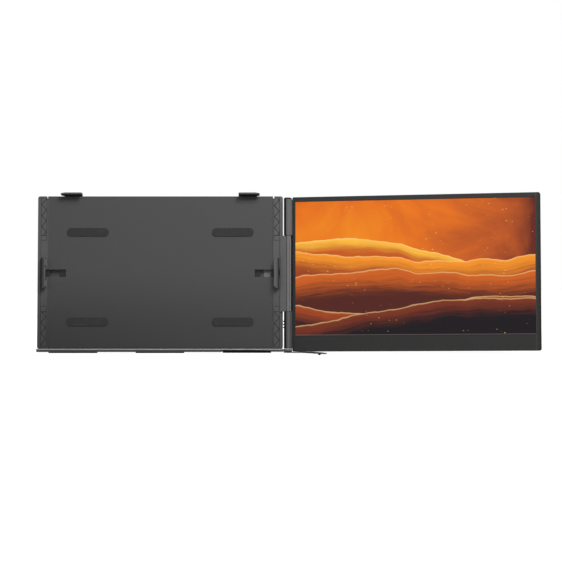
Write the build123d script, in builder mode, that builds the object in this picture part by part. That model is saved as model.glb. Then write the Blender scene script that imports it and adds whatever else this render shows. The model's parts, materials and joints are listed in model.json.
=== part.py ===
from build123d import *
import math
import os

# Clip-on portable monitor: a bracket frame that holds a host lid, and one screen on a barrel hinge.
# Millimetres. X to the right, Y backward, Z up. The origin is on the floor, under the middle of the
# frame's front face. The frame leans back, so heights and depths of the frame and the screen are
# measured on leaned planes: "height" runs up the lean, "depth" runs backward from the front face.

os.makedirs("parts", exist_ok=True)

# Pose of the whole object
LEAN_ANGLE = 3.4
SCREEN_YAW = 11.3

# General clearances
SEAT_GAP = 0.15
SLIDE_GAP = 0.3
RUNNING_GAP = 0.05
OVERCUT = 1.0

# Frame covers
FRAME_WIDTH = 355.3
FRAME_HEIGHT = 221.1
FRAME_BOTTOM = 6.2
FRAME_DEPTH = 9.0
FRAME_CORNER_R = 3.0
FRAME_EDGE_R = 0.8
FRAME_BACK_EDGE_R = 1.8
COVER_SEAM_DEPTH = 5.0
FRONT_SKIN = 3.0
BACK_SKIN = 1.6
SIDE_WALL = 1.8
PANEL_RECESS = 1.2
COLUMN_WIDTH = 14.3
BACK_RELIEF_INSET = 26.0
BACK_RELIEF_DEPTH = 0.5
BACK_RELIEF_R = 8.0
MIN_SKIN = 1.0
TOP_NOTCH_WIDTH = 1.9
TOP_NOTCH_DEPTH = 3.0
TOP_NOTCH_IN_COLUMN = 1.8

# Hatched grip panels at the ends of the columns
GRIP_INSET = 8.9
GRIP_WIDTH = 8.6
LOWER_GRIP_LENGTH = 58.8
UPPER_GRIP_LENGTH = 62.0
GRIP_DEPTH = 1.0
GRIP_END_MARGIN = 2.5
GRIP_SEAM = 0.4
LOWER_GRIP_PLAIN = 9.0
UPPER_GRIP_PLAIN = 8.2
HATCH_STEP = 8.0
# A corner of each zigzag on the panel's inner side: above the frame's bottom, and below its top
LEFT_CORNER_LOW = 30.3
RIGHT_CORNER_LOW = 36.5
LEFT_CORNER_HIGH = 51.9
RIGHT_CORNER_HIGH = 45.8
HATCH_LINE = 0.9
HATCH_DEPTH = 0.5
COLUMN_LINE = 0.5
COLUMN_LINE_DEPTH = 0.4

# Side clamps
CLAMP_BELOW_MIDDLE = 1.25
JAW_LENGTH = 44.7
JAW_WIDTH = 5.5
JAW_INSET = 5.5
JAW_STEP_WIDTH = 1.8
JAW_STEP_PROUD = 3.0
JAW_PROUD = 7.2
JAW_TAB_THICKNESS = 1.4
JAW_EDGE_R = 0.6
JAW_LINING = 0.8
SHORT_LIP_SPREAD = 30.0
SHORT_LIP_LENGTH = 9.0
SHORT_LIP_REACH = 3.5
LONG_LIP_LENGTH = 39.0
LONG_LIP_REACH = 2.0
NECK_WIDTH = 4.5
NECK_HEIGHT = 10.0
CLAMP_TRAVEL_IN = 30.0
CLAMP_TRAVEL_OUT = 1.3

# Rack and pinion
GEAR_MODULE = 1.0
PINION_TEETH = 16
PRESSURE_ANGLE = 20.0
PINION_ADDENDUM = 0.9
RACK_ADDENDUM = 0.8
TIP_CLEARANCE = 0.25
BACKLASH = 0.24
RACK_BACK = 5.35
RACK_THICKNESS = 2.0
AXLE_R = 2.0
AXLE_SEAT = 1.0
KEEPER_HALF_HEIGHT = 23.0
KEEPER_THICKNESS = 0.8
KEEPER_INSET = 32.5
GUIDE_RIB = 2.0
RIB_INNER_X = 50.0
RIB_INSET = 25.5
RACK_HEAD_LENGTH = 11.5
RACK_END_OVERRUN = 3.0
CLAMP_SCREW_SPREAD = 5.0
CLAMP_SCREW_FRONT = 1.5
KEEPER_SCREW_LENGTH = 3.6
RACK_SIDE_GAP = 0.2
TOOTH_FOOT = 0.9

# Steel stiffener plates
STIFFENER_THICKNESS = 1.2
STIFFENER_LEFT_INSET = 13.5
STIFFENER_RIGHT_INSET = 32.5
STIFFENER_LOW = 17.8
STIFFENER_HIGH = 40.3
STIFFENER_KEEPER_GAP = 2.5
STIFFENER_HOLES = 5
STIFFENER_HOLE_STEP = 56.0
STIFFENER_SLOT_LENGTH = 22.0
STIFFENER_SLOT_WIDTH = 6.0
STIFFENER_R = 3.0

# Top clips
CLIP_INSET = 49.0
CLIP_WIDTH = 30.5
CLIP_HEIGHT = 5.0
CLIP_TAPER = 5.6
CLIP_TIP = 2.6
CLIP_PLATE = 1.5
CLIP_LINING_WIDTH = 22.0
CLIP_LIP_THICKNESS = 1.4
CLIP_SLOT_BACK = 0.9
CLIP_EDGE_R = 1.2
CLIP_LINING = 0.5
CLIP_BLADE_WIDTH = 20.0
CLIP_BLADE_THICKNESS = 1.8
CLIP_BLADE_LENGTH = 37.0

# Barrel hinge
HINGE_GAP = 1.45
BARREL_R = 5.7
HINGE_FRONT_OFFSET = 3.9
BARREL_BOTTOM = 6.2
KNUCKLE_BOTTOM = 60.0
KNUCKLE_TOP = 169.5
BARREL_TOP = 224.0
KNUCKLE_R = 4.9
KNUCKLE_GAP = 0.6
WASHER_THICKNESS = 0.5
HINGE_PIN_R = 2.0
PIN_IN_BARREL = 11.0
PIN_IN_KNUCKLE = 22.0
BARREL_BORE_R = 4.2
BARREL_END = 0.6
CAP_THICKNESS = 1.6
CAP_SPIGOT = 3.0
CAP_DOME_R = 4.4
CAP_DOME = 0.9
CAP_DOME_EDGE_R = 0.7
ARM_BLOCK_WIDTH = 4.2
ARM_RAMP_X = 2.9
ARM_BACK_X = 2.6
ARM_BACK_STEP = 1.5
ARM_SCREW_TIP_GAP = 0.4
ARM_LEAF_REACH = 23.5
ARM_LEAF_THICKNESS = 1.6
ARM_LEAF_MARGIN = 1.0
ARM_GROOVE = 0.7
NECK_WALL = 4.3
LEAF_THICKNESS = 1.2
LEAF_DEPTH = 5.2
LEAF_REACH = 30.0
LEAF_MARGIN = 6.0
LEAF_SCREW_LENGTH = 3.2
LEAF_SCREW_INSET = 5.0
LEAF_SCREW_LOW = 15.0
LEAF_SCREW_HIGH = 13.0

# Buttons on the lower barrel
BUTTON_HEIGHTS = (36.7, 41.1, 45.5)
BUTTON_NAMES = ("button_minus", "button_plus", "button_power")
BUTTON_LENGTH = 1.8
BUTTON_WIDTH = 3.0
BUTTON_PROUD = 1.1
BUTTON_EDGE_R = 0.3
BUTTON_BOARD_END = 6.0
BUTTON_BOARD_TOP = 1.8
BUTTON_GAP = 0.15
BUTTON_FLANGE = 0.8
BUTTON_FLANGE_LENGTH = 2.8
BUTTON_FLANGE_WIDTH = 4.8
BUTTON_FLANGE_X = 2.4
BUTTON_BOARD_THICKNESS = 1.0
BUTTON_BOARD_HALF_WIDTH = 4.0
BUTTON_DOME_R = 1.2
BUTTON_DOME_HEIGHT = 0.6

# Screen
SCREEN_BOTTOM = 2.0
SCREEN_DEPTH = 9.0
ACTIVE_WIDTH = 344.2
ACTIVE_HEIGHT = 193.6
BEZEL_LEFT = 4.3
BEZEL_RIGHT = 7.4
BEZEL_TOP = 6.9
BEZEL_BOTTOM = 23.2
BEZEL_THICKNESS = 1.2
BEZEL_BEVEL = 0.5
SCREEN_WALL = 1.6
SCREEN_HINGE_R = 1.5
SCREEN_FREE_R = 3.0
SCREEN_EDGE_R = 0.4
SCREEN_BACK_EDGE_R = 1.4
SCREEN_FROM_AXIS = 6.0
PANEL_BORDER = 2.0
PANEL_THICKNESS = 1.2
LIGHT_GUIDE_THICKNESS = 1.2
TRAY_THICKNESS = 0.4
BOSS_R = 2.5
PILOT_R = 0.85
SPEAKER_SIZE = (40.0, 12.0, 3.5)
SPEAKER_SPREAD = 250.0
SPEAKER_HEIGHT = 11.0
SPEAKER_CORNER_R = 2.0
TRAY_SCREW_X = 128.0
TRAY_SCREW_H = 84.0
RELIEF_INSET = 14.0
RELIEF_LINE = 1.2
RELIEF_R = 8.0
RELIEF_DEPTH = 0.4
BOARD_SEAT = 1.0
BOARD_CHIPS = ((-45.0, 9.0), (-10.0, 12.0), (35.0, 8.0))
CHIP_HEIGHT = 1.0
DRIVER_BOARD = (150.0, 16.0, 1.2)
PORT_BOARD_WIDTH = 24.0
PORT_BOARD_THICKNESS = 1.0
USB_HEIGHTS = (64.0, 80.0)
USB_SHELL = (8.9, 3.2, 7.4)
HDMI_HEIGHT = 99.0
HDMI_SHELL = (11.2, 3.2, 7.6)
SOCKET_WALL = 0.35
SOCKET_FLOOR = 1.0
SOCKET_SETBACK = 0.4
SOCKET_BACK_GAP = 0.05
TONGUE_THICKNESS = 0.7
TONGUE_MARGIN = 2.2
TONGUE_SETBACK = 1.0
PORT_BOARD_MARGIN = 9.0
GRILLE_SLOT = (12.0, 1.4)
GRILLE_STEP = 4.0
GRILLE_COUNT = 7
BAFFLE_REACH = 2.9
BAFFLE_DEPTHS = (3.5, 7.0)
BAFFLE_ROOT = 0.6

# Foot rail and leg, square to the floor
RAIL_FRONT = 6.8
RAIL_BACK = 9.2
RAIL_FLOOR_GAP = 1.6
RAIL_FRONT_R = 2.2
LUG_R = 6.5
LUG_GAP = 0.4
BRIDGE_NARROWING = 3.5
BRIDGE_ROOT = 1.0
LEG_LENGTH = 92.0
LEG_ANGLE = 56.6
LEG_HUB_R = 6.0
LEG_HUB_THICKNESS = 1.1
LEG_HUB_GAP = 0.7
LEG_HUB_REACH = 7.0
LEG_NECK = 14.0
LEG_BEAM_WIDTH = 7.6
LEG_TIP_WIDTH = 7.0
LEG_UNDERSIDE = 1.8
LEG_UNDERSIDE_REACH = 40.0
LEG_CREST = 4.0
LEG_CREST_REACH = 46.0
LEG_FALL = 10.0
LEG_TIP_TOP = 3.0
LEG_POCKET_GAP = 0.4
LEG_PAD_BACK = 12.0
LEG_PAD_R = 1.8
LEG_PIN_R = 1.5
LEG_PIN_HEAD_R = 2.6
LEG_PIN_HEAD = 0.5
LEG_PAD_SEAT = 0.5
LEG_EDGE_R = 0.5
LEG_EDGE_ANGLE = 25.0
LEG_POCKET_MARGIN = 1.0
STRIP_MARGIN = 1.0
FOOT_STRIP_LENGTH = 70.0
FOOT_STRIP_INSET = 17.0
FOOT_STRIP_RECESS = 0.5
RAIL_SCREW_DEPTH = 3.1
RAIL_SCREW_FROM_STRIP = 13.0
RAIL_SCREW_HEAD_LOW = 1.9
RAIL_SCREW_REACH = 6.3
RAIL_BOSS = (6.0, 7.5)
RAIL_EXTRA = 2.0

# Fasteners
SCREW_R = 0.8
SCREW_HEAD_R = 1.9
SCREW_HEAD = 0.9
SCREW_LENGTH = 4.6
SLOT_WIDTH = 0.5
SLOT_DEPTH = 0.4
SLOT_HALF = 1.3
CASE_SCREW_INSET = 19.5
CASE_SCREW_INNER_X = 60.0
CASE_SCREW_LOW = 9.8
CASE_SCREW_HIGH = 9.3
KEEPER_SCREW_X = 60.0
KEEPER_SCREW_SPREAD = 40.0
ARM_SCREW_INSET = 20.5
ARM_SCREW_LOW = 20.0
ARM_SCREW_HIGH = 19.5

# Hard rubber pads that the host lid rests on
PAD_SIZE = (60.0, 12.0)
PAD_THICKNESS = 0.8
PAD_R = 5.5
PAD_INSET = 72.5
PAD_LOW = 38.8
PAD_HIGH = 52.3

# Sizes that follow from the ones above
FRAME_TOP = FRAME_BOTTOM + FRAME_HEIGHT
FRAME_MID = FRAME_BOTTOM + FRAME_HEIGHT / 2
CLAMP_HEIGHT = FRAME_MID - CLAMP_BELOW_MIDDLE
FRAME_RIGHT = FRAME_WIDTH / 2
WALL_INNER_X = FRAME_RIGHT - SIDE_WALL
PANEL_HALF_WIDTH = FRAME_RIGHT - COLUMN_WIDTH
GRIP_CENTRE_X = FRAME_RIGHT - GRIP_INSET
JAW_OUTER_X = FRAME_RIGHT - JAW_INSET
KEEPER_RIGHT_X = FRAME_RIGHT - KEEPER_INSET
RIB_OUTER_X = FRAME_RIGHT - RIB_INSET
STIFFENER_LEFT_X = STIFFENER_LEFT_INSET - FRAME_RIGHT
STIFFENER_RIGHT_X = FRAME_RIGHT - STIFFENER_RIGHT_INSET
CLIP_X = FRAME_RIGHT - CLIP_INSET
BACK_INNER = FRAME_DEPTH - BACK_SKIN
HINGE_X = FRAME_RIGHT + HINGE_GAP + BARREL_R
HINGE_Y = -HINGE_FRONT_OFFSET
RACK_FRONT = FRONT_SKIN + RACK_SIDE_GAP
PITCH_R = GEAR_MODULE * PINION_TEETH / 2
NECK_OUTER_X = JAW_OUTER_X - (JAW_WIDTH - NECK_WIDTH) / 2
RACK_HEAD_X = NECK_OUTER_X - RACK_HEAD_LENGTH
RACK_ROOT = PITCH_R + PINION_ADDENDUM + TIP_CLEARANCE
RACK_TOP = RACK_ROOT + RACK_BACK
KEEPER_FRONT = RACK_FRONT + RACK_THICKNESS + RACK_SIDE_GAP
ARM_X = FRAME_RIGHT - ARM_BLOCK_WIDTH
SCREEN_X = HINGE_X + SCREEN_FROM_AXIS
SCREEN_WIDTH = BEZEL_LEFT + ACTIVE_WIDTH + BEZEL_RIGHT
SCREEN_HEIGHT = BEZEL_BOTTOM + ACTIVE_HEIGHT + BEZEL_TOP
SCREEN_TOP = SCREEN_BOTTOM + SCREEN_HEIGHT
SCREEN_RIGHT = SCREEN_X + SCREEN_WIDTH
SCREEN_CENTRE = (SCREEN_X + SCREEN_WIDTH / 2, SCREEN_BOTTOM + SCREEN_HEIGHT / 2)
ACTIVE_CENTRE = (SCREEN_X + BEZEL_LEFT + ACTIVE_WIDTH / 2, SCREEN_BOTTOM + BEZEL_BOTTOM + ACTIVE_HEIGHT / 2)
SCREEN_BACK_INNER = SCREEN_DEPTH - SCREEN_WALL
GUIDE_FRONT = BEZEL_THICKNESS + PANEL_THICKNESS
TRAY_FRONT = GUIDE_FRONT + LIGHT_GUIDE_THICKNESS
TRAY_BACK = TRAY_FRONT + TRAY_THICKNESS
LOWER_BARREL = (BARREL_BOTTOM, KNUCKLE_BOTTOM - KNUCKLE_GAP)
UPPER_BARREL = (KNUCKLE_TOP + KNUCKLE_GAP, BARREL_TOP)
LEAN_SLOPE = math.tan(math.radians(LEAN_ANGLE))
STIFFENER_TO_CLAMP = KEEPER_HALF_HEIGHT + STIFFENER_KEEPER_GAP
LOWER_STIFFENER = (FRAME_BOTTOM + STIFFENER_LOW, CLAMP_HEIGHT - STIFFENER_TO_CLAMP)
UPPER_STIFFENER = (CLAMP_HEIGHT + STIFFENER_TO_CLAMP, FRAME_TOP - STIFFENER_HIGH)
# Lips of the jaws: height from the clamp's middle, length and reach over the lid
LEFT_LIPS = tuple((end * SHORT_LIP_SPREAD / 2, SHORT_LIP_LENGTH, SHORT_LIP_REACH) for end in (-1, 1))
RIGHT_LIPS = ((0, LONG_LIP_LENGTH, LONG_LIP_REACH),)

# Planes of the frame, leaned, and of the screen, leaned and swung about the hinge
LEAN = Location((0, 0, 0), (-LEAN_ANGLE, 0, 0))
SWING = Location((HINGE_X, HINGE_Y, 0), (0, 0, -SCREEN_YAW)) * Location((-HINGE_X, -HINGE_Y, 0))
FRAME_FRONT = Plane(LEAN * Plane.XZ.location)
FRAME_PLAN = Plane(LEAN * Plane.XY.location)
SCREEN_FRONT = Plane(LEAN * SWING * Plane.XZ.location)
SCREEN_PLAN = Plane(LEAN * SWING * Plane.XY.location)
LEG_PIVOT = (HINGE_X, HINGE_Y * math.cos(math.radians(LEAN_ANGLE)) + FRAME_BOTTOM * LEAN_SLOPE)


def save(builder, label):
    """Labels a finished piece and writes it as its own file."""
    builder.part.label = label
    export_step(builder.part, f"parts/{label}.step")


def block(front, x_span, height_span, depth_span, mode=Mode.ADD, corner_r=0):
    """A block on a front plane, given by its spans in x, height and depth."""
    width = x_span[1] - x_span[0]
    height = height_span[1] - height_span[0]
    with BuildSketch(front.offset(-depth_span[0])) as outline:
        with Locations(((x_span[0] + x_span[1]) / 2, (height_span[0] + height_span[1]) / 2)):
            if corner_r:
                RectangleRounded(width, height, corner_r)
            else:
                Rectangle(width, height)
    extrude(outline.sketch, amount=depth_span[0] - depth_span[1], mode=mode)


def rod(plane, centre, radius, start, end, mode=Mode.ADD):
    """A round rod or hole along a plane's normal, from one offset to another."""
    with BuildSketch(plane.offset(start)) as circle:
        with Locations(centre):
            Circle(radius)
    extrude(circle.sketch, amount=end - start, mode=mode)


def front_edges(builder, front):
    """The outer edges of the face that lies nearest to the viewer."""
    return builder.faces().sort_by(Axis(front.origin, front.z_dir))[-1].outer_wire().edges()


def back_edges(builder, front):
    """The outer edges of the face that lies furthest back."""
    return builder.faces().sort_by(Axis(front.origin, front.z_dir))[0].outer_wire().edges()


def screw_hole(front, place, start_depth, back_depth):
    """A hole for a screw whose head is let into the rear face."""
    rod(front, place, SCREW_R + RUNNING_GAP, -start_depth, -back_depth, Mode.SUBTRACT)
    head_depth = back_depth - SCREW_HEAD - RUNNING_GAP
    rod(front, place, SCREW_HEAD_R + RUNNING_GAP, -head_depth, -back_depth, Mode.SUBTRACT)


def screw(front, place, back_depth, length):
    """A screw with its head flush with the rear face and a slot across the head."""
    rod(front, place, SCREW_HEAD_R, -(back_depth - SCREW_HEAD), -back_depth)
    rod(front, place, SCREW_R, -(back_depth - length), -(back_depth - SCREW_HEAD))
    slot_x = (place[0] - SLOT_HALF, place[0] + SLOT_HALF)
    slot_height = (place[1] - SLOT_WIDTH / 2, place[1] + SLOT_WIDTH / 2)
    block(front, slot_x, slot_height, (back_depth - SLOT_DEPTH, back_depth + OVERCUT), Mode.SUBTRACT)


# Screw and pad places: x and height, for the rail's screws x alone
CASE_SCREWS = tuple(
    (side * x, height)
    for side in (-1, 1)
    for x in (CASE_SCREW_INNER_X, FRAME_RIGHT - CASE_SCREW_INSET)
    for height in (FRAME_BOTTOM + CASE_SCREW_LOW, FRAME_TOP - CASE_SCREW_HIGH)
)
KEEPER_SCREWS = tuple(
    (side * KEEPER_SCREW_X, CLAMP_HEIGHT + end * KEEPER_SCREW_SPREAD / 2)
    for side in (-1, 1)
    for end in (-1, 1)
)
ARM_SCREWS = tuple(
    (FRAME_RIGHT - ARM_SCREW_INSET, height)
    for height in (KNUCKLE_BOTTOM + ARM_SCREW_LOW, KNUCKLE_TOP - ARM_SCREW_HIGH)
)
PADS = tuple(
    (side * (FRAME_RIGHT - PAD_INSET), height)
    for side in (-1, 1)
    for height in (FRAME_BOTTOM + PAD_LOW, FRAME_TOP - PAD_HIGH)
)
CLAMP_SCREWS = tuple(
    (NECK_WIDTH / 2 - NECK_OUTER_X, CLAMP_HEIGHT + sign * CLAMP_SCREW_SPREAD / 2) for sign in (-1, 1)
)
RAIL_SCREWS = tuple(
    side * x
    for side in (-1, 1)
    for x in (
        FOOT_STRIP_LENGTH / 2 + RAIL_SCREW_FROM_STRIP,
        FRAME_RIGHT - FOOT_STRIP_INSET - FOOT_STRIP_LENGTH - RAIL_SCREW_FROM_STRIP,
    )
)


# Frame front cover
def neck_slot(side):
    """The span in x of the slot that a clamp's neck slides in."""
    inner_end = NECK_OUTER_X - NECK_WIDTH - CLAMP_TRAVEL_IN - SLIDE_GAP
    outer_end = NECK_OUTER_X + CLAMP_TRAVEL_OUT + SLIDE_GAP
    return tuple(sorted((side * inner_end, side * outer_end)))


def grip_span(upper):
    """The span in height of a grip panel."""
    if upper:
        return (FRAME_TOP - GRIP_END_MARGIN - UPPER_GRIP_LENGTH, FRAME_TOP - GRIP_END_MARGIN)
    return (FRAME_BOTTOM + GRIP_END_MARGIN, FRAME_BOTTOM + GRIP_END_MARGIN + LOWER_GRIP_LENGTH)


ARM_NOTCH = (KNUCKLE_BOTTOM - SEAT_GAP, KNUCKLE_TOP + SEAT_GAP)


def top_notches(wall_depths):
    """Notches in the top edge beside the columns, with a wall under each."""
    outer_x = PANEL_HALF_WIDTH + TOP_NOTCH_IN_COLUMN
    inner_x = outer_x - TOP_NOTCH_WIDTH
    notch_bottom = FRAME_TOP - TOP_NOTCH_DEPTH
    for sign in (-1, 1):
        wall_x = sorted((sign * (inner_x - SIDE_WALL), sign * (outer_x + SIDE_WALL)))
        wall_top = FRAME_TOP - SIDE_WALL / 2
        block(FRAME_FRONT, wall_x, (notch_bottom - SIDE_WALL, wall_top), wall_depths)
        cut_x = sorted((sign * inner_x, sign * outer_x))
        cut_depths = (-OVERCUT, FRAME_DEPTH + OVERCUT)
        block(FRAME_FRONT, cut_x, (notch_bottom, FRAME_TOP + OVERCUT), cut_depths, Mode.SUBTRACT)


with BuildPart() as front_cover:
    with BuildSketch(FRAME_FRONT):
        with Locations((0, FRAME_MID)):
            RectangleRounded(FRAME_WIDTH, FRAME_HEIGHT, FRAME_CORNER_R)
    extrude(amount=-COVER_SEAM_DEPTH)
    fillet(front_edges(front_cover, FRAME_FRONT), FRAME_EDGE_R)
    block(
        FRAME_FRONT,
        (-WALL_INNER_X, WALL_INNER_X),
        (FRAME_BOTTOM + SIDE_WALL, FRAME_TOP - SIDE_WALL),
        (FRONT_SKIN, COVER_SEAM_DEPTH),
        Mode.SUBTRACT,
    )
    block(
        FRAME_FRONT,
        (-PANEL_HALF_WIDTH, PANEL_HALF_WIDTH),
        (FRAME_BOTTOM - OVERCUT, FRAME_TOP + OVERCUT),
        (-OVERCUT, PANEL_RECESS),
        Mode.SUBTRACT,
    )
    for side in (-1, 1):
        centre_x = side * GRIP_CENTRE_X
        grip_x = (centre_x - GRIP_WIDTH / 2, centre_x + GRIP_WIDTH / 2)
        line_x = side * (GRIP_CENTRE_X + GRIP_WIDTH / 2)
        for upper in (False, True):
            block(FRAME_FRONT, grip_x, grip_span(upper), (-OVERCUT, GRIP_DEPTH), Mode.SUBTRACT)
        block(
            FRAME_FRONT,
            (line_x - COLUMN_LINE / 2, line_x + COLUMN_LINE / 2),
            (grip_span(False)[1], grip_span(True)[0]),
            (-OVERCUT, COLUMN_LINE_DEPTH),
            Mode.SUBTRACT,
        )
        block(
            FRAME_FRONT,
            neck_slot(side),
            (CLAMP_HEIGHT - NECK_HEIGHT / 2 - SLIDE_GAP, CLAMP_HEIGHT + NECK_HEIGHT / 2 + SLIDE_GAP),
            (-OVERCUT, COVER_SEAM_DEPTH + OVERCUT),
            Mode.SUBTRACT,
        )
        blade_half = CLIP_BLADE_WIDTH / 2 + SLIDE_GAP
        block(
            FRAME_FRONT,
            (side * CLIP_X - blade_half, side * CLIP_X + blade_half),
            (FRAME_TOP - SIDE_WALL - OVERCUT, FRAME_TOP + OVERCUT),
            (FRONT_SKIN, COVER_SEAM_DEPTH),
            Mode.SUBTRACT,
        )
        # Ribs that guide a rack: along its back, and along its toothless side
        head_limit_x = RACK_HEAD_X - CLAMP_TRAVEL_IN - SLIDE_GAP
        for outer_x, rib_low in (
            (RIB_OUTER_X, RACK_TOP + SLIDE_GAP),
            (head_limit_x, RACK_ROOT - SLIDE_GAP - GUIDE_RIB),
        ):
            rib_ends = (CLAMP_HEIGHT - side * rib_low, CLAMP_HEIGHT - side * (rib_low + GUIDE_RIB))
            rib_x = tuple(sorted((side * RIB_INNER_X, side * outer_x)))
            block(FRAME_FRONT, rib_x, tuple(sorted(rib_ends)), (FRONT_SKIN, KEEPER_FRONT))
    for place in CASE_SCREWS:
        rod(FRAME_FRONT, place, BOSS_R, -FRONT_SKIN, -BACK_INNER)
        rod(FRAME_FRONT, place, PILOT_R, -FRONT_SKIN, -BACK_INNER, Mode.SUBTRACT)
    for place in KEEPER_SCREWS:
        rod(FRAME_FRONT, place, BOSS_R, -FRONT_SKIN, -KEEPER_FRONT)
        rod(FRAME_FRONT, place, PILOT_R, -PANEL_RECESS - MIN_SKIN, -KEEPER_FRONT, Mode.SUBTRACT)
    for place in ARM_SCREWS:
        rod(FRAME_FRONT, place, BOSS_R, -FRONT_SKIN, ARM_LEAF_THICKNESS - BACK_INNER)
        rod(FRAME_FRONT, place, PILOT_R, -FRONT_SKIN, -BACK_INNER, Mode.SUBTRACT)
    rod(
        FRAME_FRONT,
        (0, CLAMP_HEIGHT),
        AXLE_R + RUNNING_GAP,
        -FRONT_SKIN + AXLE_SEAT,
        -FRONT_SKIN,
        Mode.SUBTRACT,
    )
    # Bosses at the bottom edge for the screws that come up through the foot rail
    for screw_x in RAIL_SCREWS:
        block(
            FRAME_FRONT,
            (screw_x - RAIL_BOSS[0] / 2, screw_x + RAIL_BOSS[0] / 2),
            (FRAME_BOTTOM, FRAME_BOTTOM + RAIL_BOSS[1]),
            (PANEL_RECESS, COVER_SEAM_DEPTH),
        )
        rod(
            FRAME_PLAN,
            (screw_x, RAIL_SCREW_DEPTH),
            PILOT_R,
            FRAME_BOTTOM,
            FRAME_BOTTOM + RAIL_BOSS[1] - SEAT_GAP,
            Mode.SUBTRACT,
        )
    notch_x = (ARM_X - SEAT_GAP, FRAME_RIGHT + OVERCUT)
    block(FRAME_FRONT, notch_x, ARM_NOTCH, (-OVERCUT, COVER_SEAM_DEPTH + OVERCUT), Mode.SUBTRACT)
    top_notches((FRONT_SKIN, COVER_SEAM_DEPTH))
save(front_cover, "frame_front_cover")

# Frame back cover
with BuildPart() as back_cover:
    with BuildSketch(FRAME_FRONT.offset(-COVER_SEAM_DEPTH)):
        with Locations((0, FRAME_MID)):
            RectangleRounded(FRAME_WIDTH, FRAME_HEIGHT, FRAME_CORNER_R)
    extrude(amount=COVER_SEAM_DEPTH - FRAME_DEPTH)
    fillet(back_edges(back_cover, FRAME_FRONT), FRAME_BACK_EDGE_R)
    block(
        FRAME_FRONT,
        (-WALL_INNER_X, WALL_INNER_X),
        (FRAME_BOTTOM + SIDE_WALL, FRAME_TOP - SIDE_WALL),
        (COVER_SEAM_DEPTH, BACK_INNER),
        Mode.SUBTRACT,
    )
    block(
        FRAME_FRONT,
        (-FRAME_RIGHT + BACK_RELIEF_INSET, FRAME_RIGHT - BACK_RELIEF_INSET),
        (FRAME_BOTTOM + BACK_RELIEF_INSET, FRAME_TOP - BACK_RELIEF_INSET),
        (FRAME_DEPTH - BACK_RELIEF_DEPTH, FRAME_DEPTH + OVERCUT),
        Mode.SUBTRACT,
        corner_r=BACK_RELIEF_R,
    )
    block(FRAME_FRONT, notch_x, ARM_NOTCH, (0, FRAME_DEPTH + OVERCUT), Mode.SUBTRACT)
    for place in CASE_SCREWS:
        screw_hole(FRAME_FRONT, place, BACK_INNER, FRAME_DEPTH)
    top_notches((COVER_SEAM_DEPTH, BACK_INNER))
save(back_cover, "frame_back_cover")


# Grip panels with zigzag grooves
def hatch_points(centre_x, span, corner):
    """Corners of a grip panel's zigzag groove, one of them on its inner side at a given height."""
    reach = math.copysign(GRIP_WIDTH / 2 - HATCH_LINE, centre_x)
    first = math.ceil((span[0] - corner) / HATCH_STEP)
    last = math.floor((span[1] - corner) / HATCH_STEP)
    points = []
    for height in (span[0], *(corner + HATCH_STEP * i for i in range(first, last + 1)), span[1]):
        phase = ((height - corner) / HATCH_STEP) % 2
        points.append((centre_x + reach * (2 * min(phase, 2 - phase) - 1), height))
    return points


for side, side_name in ((-1, "left"), (1, "right")):
    for upper, end_name in ((False, "lower"), (True, "upper")):
        low, high = grip_span(upper)
        centre_x = side * GRIP_CENTRE_X
        grip_x = (centre_x - GRIP_WIDTH / 2 + GRIP_SEAM, centre_x + GRIP_WIDTH / 2 - GRIP_SEAM)
        hatch_low = low + UPPER_GRIP_PLAIN if upper else low + GRIP_SEAM + HATCH_LINE
        hatch_high = high - GRIP_SEAM - HATCH_LINE if upper else high - LOWER_GRIP_PLAIN
        border = hatch_low - HATCH_LINE if upper else hatch_high + HATCH_LINE
        corner_low = LEFT_CORNER_LOW if side < 0 else RIGHT_CORNER_LOW
        corner_high = LEFT_CORNER_HIGH if side < 0 else RIGHT_CORNER_HIGH
        corner = FRAME_TOP - corner_high if upper else FRAME_BOTTOM + corner_low
        with BuildPart() as grip:
            block(FRAME_FRONT, grip_x, (low + GRIP_SEAM, high - GRIP_SEAM), (0, GRIP_DEPTH))
            with BuildSketch(FRAME_FRONT):
                with BuildLine():
                    Polyline(*hatch_points(centre_x, (hatch_low, hatch_high), corner))
                trace(line_width=HATCH_LINE)
            extrude(amount=-HATCH_DEPTH, mode=Mode.SUBTRACT)
            # A straight groove between the hatched stretch and the plain one
            border_span = (border - HATCH_LINE / 2, border + HATCH_LINE / 2)
            block(FRAME_FRONT, grip_x, border_span, (-OVERCUT, HATCH_DEPTH), Mode.SUBTRACT)
        save(grip, f"grip_panel_{end_name}_{side_name}")


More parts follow.
